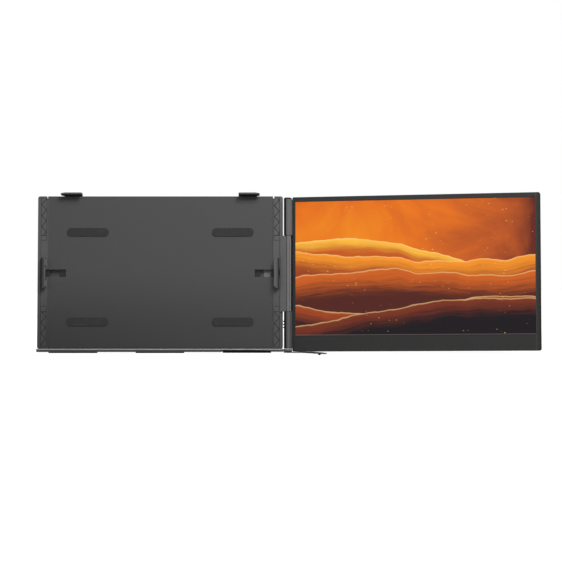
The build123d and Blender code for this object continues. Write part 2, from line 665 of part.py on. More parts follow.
# Side clamps: jaw, rubber lining, rack and its screws
def build_jaw(jaw, lips):
    """A jaw as it stands on the left: a stepped bar, its lips and the neck through the cover."""
    jaw_inner_x = JAW_WIDTH - JAW_OUTER_X
    jaw_span = (CLAMP_HEIGHT - JAW_LENGTH / 2, CLAMP_HEIGHT + JAW_LENGTH / 2)
    block(FRAME_FRONT, (-JAW_OUTER_X, jaw_inner_x), jaw_span, (-JAW_STEP_PROUD, -SLIDE_GAP))
    raised_x = (JAW_STEP_WIDTH - JAW_OUTER_X, jaw_inner_x)
    block(FRAME_FRONT, raised_x, jaw_span, (-JAW_PROUD, -JAW_STEP_PROUD))
    fillet(front_edges(jaw, FRAME_FRONT), JAW_EDGE_R)
    for offset, length, reach in lips:
        lip_height = CLAMP_HEIGHT + offset
        block(
            FRAME_FRONT,
            (jaw_inner_x - JAW_EDGE_R, jaw_inner_x + reach),
            (lip_height - length / 2, lip_height + length / 2),
            (-JAW_PROUD, JAW_TAB_THICKNESS - JAW_PROUD),
        )
    block(
        FRAME_FRONT,
        (-NECK_OUTER_X, NECK_WIDTH - NECK_OUTER_X),
        (CLAMP_HEIGHT - NECK_HEIGHT / 2, CLAMP_HEIGHT + NECK_HEIGHT / 2),
        (-SLIDE_GAP, RACK_FRONT),
    )
    for place in CLAMP_SCREWS:
        rod(FRAME_FRONT, place, SCREW_R + RUNNING_GAP, -MIN_SKIN, -RACK_FRONT, Mode.SUBTRACT)


with BuildPart() as jaw_left:
    build_jaw(jaw_left, LEFT_LIPS)

with BuildPart() as jaw_to_turn:
    build_jaw(jaw_to_turn, RIGHT_LIPS)

with BuildPart() as jaw_lining_left:
    block(
        FRAME_FRONT,
        (JAW_WIDTH - JAW_OUTER_X, JAW_WIDTH - JAW_OUTER_X + JAW_LINING),
        (CLAMP_HEIGHT - JAW_LENGTH / 2 + 2 * JAW_EDGE_R, CLAMP_HEIGHT + JAW_LENGTH / 2 - 2 * JAW_EDGE_R),
        (JAW_TAB_THICKNESS - JAW_PROUD + SEAT_GAP, -SLIDE_GAP),
    )

RACK_PITCH = math.pi * GEAR_MODULE
RACK_TAN = math.tan(math.radians(PRESSURE_ANGLE))
RACK_HALF = (RACK_PITCH - BACKLASH) / 4
RACK_TEETH_START = -(CLAMP_TRAVEL_IN + PITCH_R)
RACK_TEETH_END = CLAMP_TRAVEL_OUT + PITCH_R
RACK_END_X = RACK_TEETH_END + RACK_END_OVERRUN

with BuildPart() as rack_left:
    block(
        FRAME_FRONT,
        (-NECK_OUTER_X, RACK_END_X),
        (CLAMP_HEIGHT + RACK_ROOT, CLAMP_HEIGHT + RACK_TOP),
        (RACK_FRONT, RACK_FRONT + RACK_THICKNESS),
    )
    block(
        FRAME_FRONT,
        (-NECK_OUTER_X, -RACK_HEAD_X),
        (CLAMP_HEIGHT - NECK_HEIGHT / 2, CLAMP_HEIGHT + RACK_TOP),
        (RACK_FRONT, RACK_FRONT + RACK_THICKNESS),
    )
    # Straight-sided teeth, half a pitch off the middle, so that a pinion tooth meets a gap
    with BuildSketch(FRAME_FRONT.offset(-RACK_FRONT)) as rack_teeth:
        first = math.ceil(RACK_TEETH_START / RACK_PITCH - 0.5)
        last = math.floor(RACK_TEETH_END / RACK_PITCH - 0.5)
        tip = PITCH_R - RACK_ADDENDUM
        for index in range(first, last + 1):
            tooth_x = (index + 0.5) * RACK_PITCH
            tip_half = RACK_HALF - RACK_ADDENDUM * RACK_TAN
            root_half = RACK_HALF + (RACK_ROOT - PITCH_R) * RACK_TAN
            with BuildLine():
                Polyline(
                    (tooth_x - tip_half, CLAMP_HEIGHT + tip),
                    (tooth_x + tip_half, CLAMP_HEIGHT + tip),
                    (tooth_x + root_half, CLAMP_HEIGHT + RACK_ROOT),
                    (tooth_x - root_half, CLAMP_HEIGHT + RACK_ROOT),
                    close=True,
                )
            make_face()
    extrude(amount=-RACK_THICKNESS)
    for place in CLAMP_SCREWS:
        screw_hole(FRAME_FRONT, place, RACK_FRONT, RACK_FRONT + RACK_THICKNESS)

with BuildPart() as clamp_screws_left:
    for place in CLAMP_SCREWS:
        rack_rear = RACK_FRONT + RACK_THICKNESS
        screw(FRAME_FRONT, place, rack_rear, rack_rear - CLAMP_SCREW_FRONT)

# The right clamp is turned half a turn about the pinion, so that its rack runs below
HALF_TURN = Axis(FRAME_FRONT.from_local_coords((0, CLAMP_HEIGHT, 0)), FRAME_FRONT.z_dir)
for left_piece, turned_piece, name in (
    (jaw_left, jaw_to_turn, "clamp_jaw"),
    (jaw_lining_left, jaw_lining_left, "clamp_lining"),
    (rack_left, rack_left, "clamp_rack"),
    (clamp_screws_left, clamp_screws_left, "clamp_screws"),
):
    save(left_piece, name + "_left")
    with BuildPart() as right_piece:
        add(turned_piece.part.rotate(HALF_TURN, 180))
    save(right_piece, name + "_right")


# Pinion between the racks, with involute flanks
def involute(radius):
    """The involute function at a radius of the pinion."""
    base_r = PITCH_R * math.cos(math.radians(PRESSURE_ANGLE))
    angle = math.acos(min(1.0, base_r / radius))
    return math.tan(angle) - angle


def flank_point(radius, side):
    """A point of a tooth flank, for the tooth that points up the height."""
    half = (RACK_PITCH - BACKLASH) / 4 / PITCH_R + involute(PITCH_R) - involute(radius)
    return (side * radius * math.sin(half), radius * math.cos(half))


BASE_R = PITCH_R * math.cos(math.radians(PRESSURE_ANGLE))
PINION_TIP_R = PITCH_R + PINION_ADDENDUM
PINION_ROOT_R = PITCH_R - RACK_ADDENDUM - TIP_CLEARANCE
FLANK_RADII = (BASE_R, (BASE_R + PITCH_R) / 2, PITCH_R, (PITCH_R + PINION_TIP_R) / 2, PINION_TIP_R)

with BuildSketch() as tooth:
    with BuildLine():
        left = [flank_point(radius, -1) for radius in FLANK_RADII]
        right = [flank_point(radius, 1) for radius in FLANK_RADII]
        foot_half = -left[0][0]
        Line((-foot_half, PINION_ROOT_R * TOOTH_FOOT), left[0])
        Spline(*left)
        Line(left[-1], right[-1])
        Spline(*right)
        Line(right[0], (foot_half, PINION_ROOT_R * TOOTH_FOOT))
        Line((foot_half, PINION_ROOT_R * TOOTH_FOOT), (-foot_half, PINION_ROOT_R * TOOTH_FOOT))
    make_face()

with BuildPart() as pinion:
    with BuildSketch(FRAME_FRONT.offset(-RACK_FRONT)):
        with Locations((0, CLAMP_HEIGHT)):
            Circle(PINION_ROOT_R)
            with PolarLocations(0, PINION_TEETH):
                add(tooth.sketch)
            Circle(AXLE_R + RUNNING_GAP, mode=Mode.SUBTRACT)
    extrude(amount=-RACK_THICKNESS)
save(pinion, "sync_pinion")

with BuildPart() as axle:
    rod(
        FRAME_FRONT,
        (0, CLAMP_HEIGHT),
        AXLE_R,
        AXLE_SEAT - FRONT_SKIN,
        -(KEEPER_FRONT + KEEPER_THICKNESS),
    )
save(axle, "pinion_axle")

with BuildPart() as keeper:
    block(
        FRAME_FRONT,
        (-KEEPER_RIGHT_X, KEEPER_RIGHT_X),
        (CLAMP_HEIGHT - KEEPER_HALF_HEIGHT, CLAMP_HEIGHT + KEEPER_HALF_HEIGHT),
        (KEEPER_FRONT, KEEPER_FRONT + KEEPER_THICKNESS),
    )
    rod(FRAME_FRONT, (0, CLAMP_HEIGHT), AXLE_R + RUNNING_GAP, 0, -BACK_INNER, Mode.SUBTRACT)
    for place in KEEPER_SCREWS:
        rod(FRAME_FRONT, place, SCREW_R + RUNNING_GAP, 0, -BACK_INNER, Mode.SUBTRACT)
save(keeper, "rack_keeper_plate")

with BuildPart() as keeper_screws:
    for place in KEEPER_SCREWS:
        screw(FRAME_FRONT, place, KEEPER_FRONT + KEEPER_THICKNESS + SCREW_HEAD, KEEPER_SCREW_LENGTH)
save(keeper_screws, "keeper_screws")

# Steel plates that stiffen and weigh down the frame, on the inside of the back cover
for name, span in (("stiffener_lower", LOWER_STIFFENER), ("stiffener_upper", UPPER_STIFFENER)):
    with BuildPart() as stiffener:
        block(
            FRAME_FRONT,
            (STIFFENER_LEFT_X, STIFFENER_RIGHT_X),
            span,
            (BACK_INNER - STIFFENER_THICKNESS, BACK_INNER),
            corner_r=STIFFENER_R,
        )
        with BuildSketch(FRAME_FRONT.offset(-BACK_INNER)):
            middle_x = (STIFFENER_LEFT_X + STIFFENER_RIGHT_X) / 2
            with Locations((middle_x, (span[0] + span[1]) / 2)):
                with GridLocations(STIFFENER_HOLE_STEP, 1, STIFFENER_HOLES, 1):
                    SlotOverall(STIFFENER_SLOT_LENGTH, STIFFENER_SLOT_WIDTH)
        extrude(amount=STIFFENER_THICKNESS, mode=Mode.SUBTRACT)
    save(stiffener, name)

# Pads that keep the host lid off the panel
with BuildPart() as pads:
    for centre_x, height in PADS:
        block(
            FRAME_FRONT,
            (centre_x - PAD_SIZE[0] / 2, centre_x + PAD_SIZE[0] / 2),
            (height - PAD_SIZE[1] / 2, height + PAD_SIZE[1] / 2),
            (PANEL_RECESS - PAD_THICKNESS, PANEL_RECESS),
            corner_r=PAD_R,
        )
save(pads, "lid_rest_pads")

# Frame screws
with BuildPart() as case_screws:
    for place in CASE_SCREWS:
        screw(FRAME_FRONT, place, FRAME_DEPTH, SCREW_LENGTH)
save(case_screws, "frame_case_screws")

# Top clips
CLIP_BASE = FRAME_TOP + SLIDE_GAP
CLIP_TOP = FRAME_TOP + CLIP_HEIGHT
CLIP_BLADE_FRONT = FRONT_SKIN + SEAT_GAP
for side, side_name in ((-1, "left"), (1, "right")):
    centre_x = side * CLIP_X
    inner_x = centre_x - side * CLIP_WIDTH / 2
    outer_x = centre_x + side * CLIP_WIDTH / 2
    with BuildPart() as clip:
        with BuildSketch(FRAME_FRONT.offset(JAW_PROUD)) as head:
            with BuildLine():
                Polyline(
                    (inner_x, CLIP_BASE),
                    (inner_x, CLIP_TOP),
                    (outer_x - side * CLIP_TAPER, CLIP_TOP),
                    (outer_x, (CLIP_TOP + CLIP_BASE) / 2 + CLIP_TIP / 2),
                    (outer_x, (CLIP_TOP + CLIP_BASE) / 2 - CLIP_TIP / 2),
                    (outer_x - side * CLIP_TAPER, CLIP_BASE),
                    close=True,
                )
            make_face()
            top_corner = head.vertices().group_by(Axis.Y)[-1].sort_by(Axis.X)
            fillet(top_corner[-1 if side < 0 else 0], CLIP_EDGE_R)
        extrude(amount=-(JAW_PROUD + CLIP_BLADE_FRONT + CLIP_BLADE_THICKNESS))
        fillet(front_edges(clip, FRAME_FRONT), JAW_EDGE_R)
        # The slot that the top edge of a host lid goes up into
        block(
            FRAME_FRONT,
            (centre_x - CLIP_WIDTH / 2 - OVERCUT, centre_x + CLIP_WIDTH / 2 + OVERCUT),
            (CLIP_BASE - OVERCUT, CLIP_TOP - CLIP_PLATE),
            (CLIP_LIP_THICKNESS - JAW_PROUD, CLIP_SLOT_BACK),
            Mode.SUBTRACT,
        )
        block(
            FRAME_FRONT,
            (centre_x - CLIP_BLADE_WIDTH / 2, centre_x + CLIP_BLADE_WIDTH / 2),
            (FRAME_TOP - CLIP_BLADE_LENGTH, CLIP_BASE + CLIP_EDGE_R),
            (CLIP_BLADE_FRONT, CLIP_BLADE_FRONT + CLIP_BLADE_THICKNESS),
        )
    save(clip, "top_clip_" + side_name)
    with BuildPart() as clip_lining:
        block(
            FRAME_FRONT,
            (centre_x - side - CLIP_LINING_WIDTH / 2, centre_x - side + CLIP_LINING_WIDTH / 2),
            (CLIP_TOP - CLIP_PLATE - CLIP_LINING, CLIP_TOP - CLIP_PLATE),
            (CLIP_LIP_THICKNESS - JAW_PROUD + SEAT_GAP, CLIP_SLOT_BACK - SEAT_GAP),
        )
    save(clip_lining, "clip_lining_" + side_name)

# Hinge arm on the frame: a block in the covers' notch, a ramp and the middle knuckle
RAMP_TOP = (HINGE_X - ARM_RAMP_X, HINGE_Y - math.sqrt(KNUCKLE_R**2 - ARM_RAMP_X**2))
ARM_BACK = (HINGE_X + ARM_BACK_X, HINGE_Y + math.sqrt(KNUCKLE_R**2 - ARM_BACK_X**2))
with BuildPart() as arm:
    with BuildSketch(FRAME_PLAN.offset(KNUCKLE_BOTTOM)) as arm_plan:
        with BuildLine():
            Polyline(
                (ARM_X, 0),
                RAMP_TOP,
                (HINGE_X, HINGE_Y),
                ARM_BACK,
                (FRAME_RIGHT + ARM_BACK_STEP, FRAME_DEPTH),
                (ARM_X, FRAME_DEPTH),
                close=True,
            )
        make_face()
        with Locations((HINGE_X, HINGE_Y)):
            Circle(KNUCKLE_R)
            Circle(HINGE_PIN_R + RUNNING_GAP, mode=Mode.SUBTRACT)
        # The fine groove where the ramp meets the knuckle
        with Locations(RAMP_TOP):
            Circle(ARM_GROOVE / 2, mode=Mode.SUBTRACT)
    extrude(amount=KNUCKLE_TOP - KNUCKLE_BOTTOM)
    block(
        FRAME_FRONT,
        (ARM_X - ARM_LEAF_REACH, ARM_X + OVERCUT),
        (KNUCKLE_BOTTOM + ARM_LEAF_MARGIN, KNUCKLE_TOP - ARM_LEAF_MARGIN),
        (BACK_INNER - ARM_LEAF_THICKNESS, BACK_INNER),
    )
    for place in ARM_SCREWS:
        screw_hole(FRAME_FRONT, place, BACK_INNER - ARM_LEAF_THICKNESS, BACK_INNER)
save(arm, "hinge_arm")

with BuildPart() as arm_screws:
    for place in ARM_SCREWS:
        screw(FRAME_FRONT, place, BACK_INNER, BACK_INNER - FRONT_SKIN - ARM_SCREW_TIP_GAP)
save(arm_screws, "hinge_arm_screws")

# Washers in the gaps between the knuckle and the barrels
with BuildPart() as washers:
    for gap_start in (KNUCKLE_BOTTOM - KNUCKLE_GAP, KNUCKLE_TOP):
        start = gap_start + (KNUCKLE_GAP - WASHER_THICKNESS) / 2
        rod(FRAME_PLAN, (HINGE_X, HINGE_Y), KNUCKLE_R, start, start + WASHER_THICKNESS)
        rod(
            FRAME_PLAN,
            (HINGE_X, HINGE_Y),
            HINGE_PIN_R + RUNNING_GAP,
            start,
            start + WASHER_THICKNESS,
            Mode.SUBTRACT,
        )
save(washers, "friction_washers")


# Hinge barrels: a cylinder, a neck behind it and a leaf that is screwed to the tray in the screen
def leaf_screws(span):
    """Places of the two screws in a barrel's leaf."""
    leaf_x = SCREEN_X + LEAF_REACH - LEAF_SCREW_INSET
    return tuple((leaf_x, height) for height in (span[0] + LEAF_SCREW_LOW, span[1] - LEAF_SCREW_HIGH))


LEAF_BACK = LEAF_DEPTH + LEAF_THICKNESS
NECK_END_X = SCREEN_X - RUNNING_GAP
for name, span, bore_up in (("lower", LOWER_BARREL, False), ("upper", UPPER_BARREL, True)):
    capped = (span[0] + CAP_THICKNESS, span[1]) if not bore_up else (span[0], span[1] - CAP_THICKNESS)
    with BuildPart() as barrel:
        with BuildSketch(SCREEN_PLAN.offset(capped[0])):
            with Locations((HINGE_X, HINGE_Y)):
                Circle(BARREL_R)
        extrude(amount=capped[1] - capped[0])
        # The neck runs down beside the lower cap
        with BuildSketch(SCREEN_PLAN.offset(span[0])):
            with Locations((NECK_END_X - NECK_WALL / 2, (HINGE_Y + LEAF_BACK) / 2)):
                Rectangle(NECK_WALL, LEAF_BACK - HINGE_Y)
        extrude(amount=capped[1] - span[0])
        if not bore_up:
            cap_room = BARREL_R + RUNNING_GAP
            rod(SCREEN_PLAN, (HINGE_X, HINGE_Y), cap_room, span[0], capped[0], Mode.SUBTRACT)
        block(
            SCREEN_FRONT,
            (NECK_END_X - OVERCUT, SCREEN_X + LEAF_REACH),
            (span[0] + LEAF_MARGIN, span[1] - LEAF_MARGIN),
            (LEAF_DEPTH, LEAF_BACK),
        )
        if bore_up:
            pin_end = span[0] + PIN_IN_BARREL
            hollow = (pin_end + BARREL_END, capped[1])
            rod(SCREEN_PLAN, (HINGE_X, HINGE_Y), HINGE_PIN_R + RUNNING_GAP, span[0], pin_end, Mode.SUBTRACT)
        else:
            pin_end = span[1] - PIN_IN_BARREL
            hollow = (capped[0], pin_end - BARREL_END)
            rod(SCREEN_PLAN, (HINGE_X, HINGE_Y), HINGE_PIN_R + RUNNING_GAP, pin_end, span[1], Mode.SUBTRACT)
            for height in BUTTON_HEIGHTS:
                block(
                    SCREEN_FRONT,
                    (HINGE_X - BARREL_R - OVERCUT, HINGE_X - BARREL_BORE_R + OVERCUT),
                    (height - BUTTON_LENGTH / 2 - BUTTON_GAP, height + BUTTON_LENGTH / 2 + BUTTON_GAP),
                    (HINGE_Y - BUTTON_WIDTH / 2 - BUTTON_GAP, HINGE_Y + BUTTON_WIDTH / 2 + BUTTON_GAP),
                    Mode.SUBTRACT,
                )
        rod(SCREEN_PLAN, (HINGE_X, HINGE_Y), BARREL_BORE_R, hollow[0], hollow[1], Mode.SUBTRACT)
        for place in leaf_screws(span):
            rod(SCREEN_FRONT, place, SCREW_R + RUNNING_GAP, -LEAF_DEPTH, -LEAF_BACK, Mode.SUBTRACT)
    save(barrel, "hinge_barrel_" + name)

with BuildPart() as caps:
    for end, spigot_end in (
        (LOWER_BARREL[0], LOWER_BARREL[0] + CAP_THICKNESS),
        (UPPER_BARREL[1], UPPER_BARREL[1] - CAP_THICKNESS),
    ):
        into = math.copysign(CAP_SPIGOT, spigot_end - end)
        rod(SCREEN_PLAN, (HINGE_X, HINGE_Y), BARREL_R, end, spigot_end)
        rod(SCREEN_PLAN, (HINGE_X, HINGE_Y), BARREL_BORE_R - RUNNING_GAP, spigot_end, spigot_end + into)
    rod(SCREEN_PLAN, (HINGE_X, HINGE_Y), CAP_DOME_R, UPPER_BARREL[1], UPPER_BARREL[1] + CAP_DOME)
    fillet(caps.edges().sort_by(Axis(SCREEN_PLAN.origin, SCREEN_PLAN.z_dir))[-1], CAP_DOME_EDGE_R)
save(caps, "barrel_caps")

with BuildPart() as pins:
    pin_spans = (
        (LOWER_BARREL[1] - PIN_IN_BARREL, KNUCKLE_BOTTOM + PIN_IN_KNUCKLE),
        (KNUCKLE_TOP - PIN_IN_KNUCKLE, UPPER_BARREL[0] + PIN_IN_BARREL),
    )
    for start, end in pin_spans:
        rod(SCREEN_PLAN, (HINGE_X, HINGE_Y), HINGE_PIN_R, start, end)
save(pins, "hinge_pins")

with BuildPart() as leaf_screw_set:
    for span in (LOWER_BARREL, UPPER_BARREL):
        for place in leaf_screws(span):
            screw(SCREEN_FRONT, place, LEAF_BACK + SCREW_HEAD, LEAF_SCREW_LENGTH)
save(leaf_screw_set, "hinge_leaf_screws")

# Buttons and the board that they press
for name, height in zip(BUTTON_NAMES, BUTTON_HEIGHTS):
    with BuildPart() as button:
        block(
            SCREEN_FRONT,
            (HINGE_X - BARREL_R - BUTTON_PROUD, HINGE_X - BUTTON_FLANGE_X - BUTTON_FLANGE / 2),
            (height - BUTTON_LENGTH / 2, height + BUTTON_LENGTH / 2),
            (HINGE_Y - BUTTON_WIDTH / 2, HINGE_Y + BUTTON_WIDTH / 2),
        )
        outer_face = button.faces().sort_by(Axis(SCREEN_FRONT.origin, SCREEN_FRONT.x_dir))[0]
        fillet(outer_face.edges(), BUTTON_EDGE_R)
        block(
            SCREEN_FRONT,
            (HINGE_X - BUTTON_FLANGE_X - BUTTON_FLANGE, HINGE_X - BUTTON_FLANGE_X),
            (height - BUTTON_FLANGE_LENGTH / 2, height + BUTTON_FLANGE_LENGTH / 2),
            (HINGE_Y - BUTTON_FLANGE_WIDTH / 2, HINGE_Y + BUTTON_FLANGE_WIDTH / 2),
        )
    save(button, name)

SCREEN_SIDE = Plane(LEAN * SWING * Plane.YZ.location)
with BuildPart() as button_board:
    block(
        SCREEN_FRONT,
        (HINGE_X - BUTTON_BOARD_THICKNESS, HINGE_X),
        (BUTTON_HEIGHTS[0] - BUTTON_BOARD_END, BUTTON_HEIGHTS[-1] + BUTTON_BOARD_TOP),
        (HINGE_Y - BUTTON_BOARD_HALF_WIDTH, HINGE_Y + BUTTON_BOARD_HALF_WIDTH),
    )
    board_x = HINGE_X - BUTTON_BOARD_THICKNESS
    for height in BUTTON_HEIGHTS:
        rod(SCREEN_SIDE, (HINGE_Y, height), BUTTON_DOME_R, board_x, board_x - BUTTON_DOME_HEIGHT)
save(button_board, "button_board")

# Screen: rear shell
TRAY_SPAN_X = (
    SCREEN_X + BEZEL_LEFT - PANEL_BORDER,
    SCREEN_X + BEZEL_LEFT + ACTIVE_WIDTH + PANEL_BORDER,
)
TRAY_SPAN_H = (
    SCREEN_BOTTOM + BEZEL_BOTTOM - PANEL_BORDER,
    SCREEN_BOTTOM + BEZEL_BOTTOM + ACTIVE_HEIGHT + PANEL_BORDER,
)
TRAY_SCREWS = tuple(
    (ACTIVE_CENTRE[0] + x, ACTIVE_CENTRE[1] + h)
    for x in (-TRAY_SCREW_X, 0, TRAY_SCREW_X)
    for h in (-TRAY_SCREW_H, TRAY_SCREW_H)
)
SOCKET_DEPTHS = (SCREEN_BACK_INNER - USB_SHELL[1] - SOCKET_BACK_GAP, SCREEN_BACK_INNER - SOCKET_BACK_GAP)
SOCKETS = tuple((height, USB_SHELL) for height in USB_HEIGHTS) + ((HDMI_HEIGHT, HDMI_SHELL),)


def socket_profile(height, shell, inset):
    """The rounded outline of a socket, on the screen's side plane."""
    with Locations(((SOCKET_DEPTHS[0] + SOCKET_DEPTHS[1]) / 2, height)):
        Rectangle(shell[1] - 2 * inset, shell[0] - 2 * inset)


def case_outline(sketch):
    """The outline of the screen's case: nearly square by the hinge, rounder on the free side."""
    with Locations(SCREEN_CENTRE):
        Rectangle(SCREEN_WIDTH, SCREEN_HEIGHT)
    fillet(sketch.vertices().sort_by(Axis.X)[:2], SCREEN_HINGE_R)
    fillet(sketch.vertices().sort_by(Axis.X)[-2:], SCREEN_FREE_R)


with BuildPart() as rear_shell:
    with BuildSketch(SCREEN_FRONT.offset(-BEZEL_THICKNESS)) as case:
        case_outline(case)
    extrude(amount=BEZEL_THICKNESS - SCREEN_DEPTH)
    fillet(back_edges(rear_shell, SCREEN_FRONT), SCREEN_BACK_EDGE_R)
    block(
        SCREEN_FRONT,
        (SCREEN_X + SCREEN_WALL, SCREEN_RIGHT - SCREEN_WALL),
        (SCREEN_BOTTOM + SCREEN_WALL, SCREEN_TOP - SCREEN_WALL),
        (BEZEL_THICKNESS, SCREEN_BACK_INNER),
        Mode.SUBTRACT,
        corner_r=SCREEN_FREE_R - SCREEN_WALL,
    )
    # Slots for the hinge leaves
    for span in (LOWER_BARREL, UPPER_BARREL):
        block(
            SCREEN_FRONT,
            (SCREEN_X - OVERCUT, SCREEN_X + SCREEN_WALL + OVERCUT),
            (span[0] + LEAF_MARGIN - SEAT_GAP, span[1] - LEAF_MARGIN + SEAT_GAP),
            (LEAF_DEPTH - SEAT_GAP, LEAF_BACK + SEAT_GAP),
            Mode.SUBTRACT,
        )
    # Openings for the sockets in the right wall
    for height, shell in SOCKETS:
        with BuildSketch(SCREEN_SIDE.offset(SCREEN_RIGHT + OVERCUT)) as opening:
            socket_profile(height, shell, -SEAT_GAP)
        extrude(opening.sketch, amount=-SCREEN_WALL - 2 * OVERCUT, mode=Mode.SUBTRACT)
    # Speaker grilles low on the back
    for side in (-1, 1):
        with BuildSketch(SCREEN_FRONT.offset(-SCREEN_DEPTH - OVERCUT)) as grille:
            with Locations((SCREEN_CENTRE[0] + side * SPEAKER_SPREAD / 2, SCREEN_BOTTOM + SPEAKER_HEIGHT)):
                with GridLocations(GRILLE_STEP, 1, GRILLE_COUNT, 1):
                    SlotOverall(GRILLE_SLOT[0], GRILLE_SLOT[1], rotation=90)
        extrude(grille.sketch, amount=SCREEN_WALL + 2 * OVERCUT, mode=Mode.SUBTRACT)
    for place in TRAY_SCREWS:
        screw_hole(SCREEN_FRONT, place, SCREEN_BACK_INNER, SCREEN_DEPTH)
    # A shallow groove round the middle of the back
    with BuildSketch(SCREEN_FRONT.offset(-SCREEN_DEPTH - OVERCUT)) as relief:
        with Locations(SCREEN_CENTRE):
            RectangleRounded(SCREEN_WIDTH - 2 * RELIEF_INSET, SCREEN_HEIGHT - 2 * RELIEF_INSET, RELIEF_R)
            inner_inset = RELIEF_INSET + RELIEF_LINE
            RectangleRounded(
                SCREEN_WIDTH - 2 * inner_inset,
                SCREEN_HEIGHT - 2 * inner_inset,
                RELIEF_R - RELIEF_LINE,
                mode=Mode.SUBTRACT,
            )
    extrude(relief.sketch, amount=OVERCUT + RELIEF_DEPTH, mode=Mode.SUBTRACT)
    # A lip that closes the gap behind the knuckle
    block(
        SCREEN_FRONT,
        (SCREEN_X - BAFFLE_REACH, SCREEN_X + BAFFLE_ROOT),
        (LOWER_BARREL[1] + RUNNING_GAP, UPPER_BARREL[0] - RUNNING_GAP),
        BAFFLE_DEPTHS,
    )
save(rear_shell, "screen_rear_shell")

# Screen: front bezel with its bevelled opening
with BuildPart() as bezel:
    with BuildSketch(SCREEN_FRONT) as case:
        case_outline(case)
    extrude(amount=-BEZEL_THICKNESS)
    fillet(front_edges(bezel, SCREEN_FRONT), SCREEN_EDGE_R)
    with BuildSketch(SCREEN_FRONT):
        with Locations(ACTIVE_CENTRE):
            Rectangle(ACTIVE_WIDTH, ACTIVE_HEIGHT)
    extrude(amount=-BEZEL_THICKNESS, mode=Mode.SUBTRACT)
    front_face = bezel.faces().sort_by(Axis(SCREEN_FRONT.origin, SCREEN_FRONT.z_dir))[-1]
    chamfer(front_face.inner_wires()[0].edges(), BEZEL_BEVEL)
save(bezel, "front_bezel")

# Screen: display panel, light guide and the tray that carries them
with BuildPart() as display:
    block(SCREEN_FRONT, TRAY_SPAN_X, TRAY_SPAN_H, (BEZEL_THICKNESS, GUIDE_FRONT))
save(display, "display_panel")

with BuildPart() as light_guide:
    guide_x = (TRAY_SPAN_X[0] + SEAT_GAP, TRAY_SPAN_X[1] - SEAT_GAP)
    guide_h = (TRAY_SPAN_H[0] + SEAT_GAP, TRAY_SPAN_H[1] - SEAT_GAP)
    block(SCREEN_FRONT, guide_x, guide_h, (GUIDE_FRONT, TRAY_FRONT))
save(light_guide, "light_guide")

with BuildPart() as tray:
    block(SCREEN_FRONT, TRAY_SPAN_X, TRAY_SPAN_H, (TRAY_FRONT, TRAY_BACK))
    for place in TRAY_SCREWS:
        rod(SCREEN_FRONT, place, BOSS_R, -TRAY_BACK, -SCREEN_BACK_INNER)
        rod(SCREEN_FRONT, place, PILOT_R, -TRAY_BACK, -SCREEN_BACK_INNER, Mode.SUBTRACT)
    for span in (LOWER_BARREL, UPPER_BARREL):
        for place in leaf_screws(span):
            rod(SCREEN_FRONT, place, BOSS_R, -TRAY_BACK, -LEAF_DEPTH)
            rod(SCREEN_FRONT, place, PILOT_R, -TRAY_FRONT, -LEAF_DEPTH, Mode.SUBTRACT)
save(tray, "backlight_tray")

# Screen: driver board with its chips, under the panel
BOARD_BACK = SCREEN_BACK_INNER - BOARD_SEAT
with BuildPart() as driver_board:
    board_h = SCREEN_BOTTOM + SPEAKER_HEIGHT
    board_x = (SCREEN_CENTRE[0] - DRIVER_BOARD[0] / 2, SCREEN_CENTRE[0] + DRIVER_BOARD[0] / 2)
    block(
        SCREEN_FRONT,
        board_x,
        (board_h - DRIVER_BOARD[1] / 2, board_h + DRIVER_BOARD[1] / 2),
        (BOARD_BACK - DRIVER_BOARD[2], BOARD_BACK),
    )
    for offset_x, size in BOARD_CHIPS:
        chip_x = SCREEN_CENTRE[0] + offset_x
        block(
            SCREEN_FRONT,
            (chip_x - size / 2, chip_x + size / 2),
            (board_h - size / 2, board_h + size / 2),
            (BOARD_BACK - DRIVER_BOARD[2] - CHIP_HEIGHT, BOARD_BACK - DRIVER_BOARD[2]),
        )
    # Feet that stand on the rear shell
    for sign_x in (-1, 1):
        foot = (SCREEN_CENTRE[0] + sign_x * (DRIVER_BOARD[0] / 2 - BOSS_R - BOARD_SEAT), board_h)
        rod(SCREEN_FRONT, foot, BOSS_R, -BOARD_BACK, -SCREEN_BACK_INNER)
save(driver_board, "driver_board")

with BuildPart() as speakers:
    for side in (-1, 1):
        speaker_x = SCREEN_CENTRE[0] + side * SPEAKER_SPREAD / 2
        block(
            SCREEN_FRONT,
            (speaker_x - SPEAKER_SIZE[0] / 2, speaker_x + SPEAKER_SIZE[0] / 2),
            (board_h - SPEAKER_SIZE[1] / 2, board_h + SPEAKER_SIZE[1] / 2),
            (SCREEN_BACK_INNER - SPEAKER_SIZE[2], SCREEN_BACK_INNER),
            corner_r=SPEAKER_CORNER_R,
        )
save(speakers, "speakers")


# Screen: sockets in the right edge, and the board that they sit in
def build_socket(height, shell):
    """One socket: a shell that is open to the right, with a tongue inside."""
    with BuildSketch(SCREEN_SIDE.offset(SCREEN_RIGHT - SOCKET_SETBACK)) as outline:
        socket_profile(height, shell, 0)
    extrude(outline.sketch, amount=-shell[2])
    with BuildSketch(SCREEN_SIDE.offset(SCREEN_RIGHT - SOCKET_SETBACK)) as mouth:
        socket_profile(height, shell, SOCKET_WALL)
    extrude(mouth.sketch, amount=-(shell[2] - SOCKET_FLOOR), mode=Mode.SUBTRACT)
    with BuildSketch(SCREEN_SIDE.offset(SCREEN_RIGHT - SOCKET_SETBACK - TONGUE_SETBACK)) as tongue:
        socket_profile(height, (shell[0] - TONGUE_MARGIN, TONGUE_THICKNESS), 0)
    extrude(tongue.sketch, amount=TONGUE_SETBACK - shell[2])


with BuildPart() as usb_sockets:
    for height in USB_HEIGHTS:
        build_socket(height, USB_SHELL)
save(usb_sockets, "usb_c_sockets")

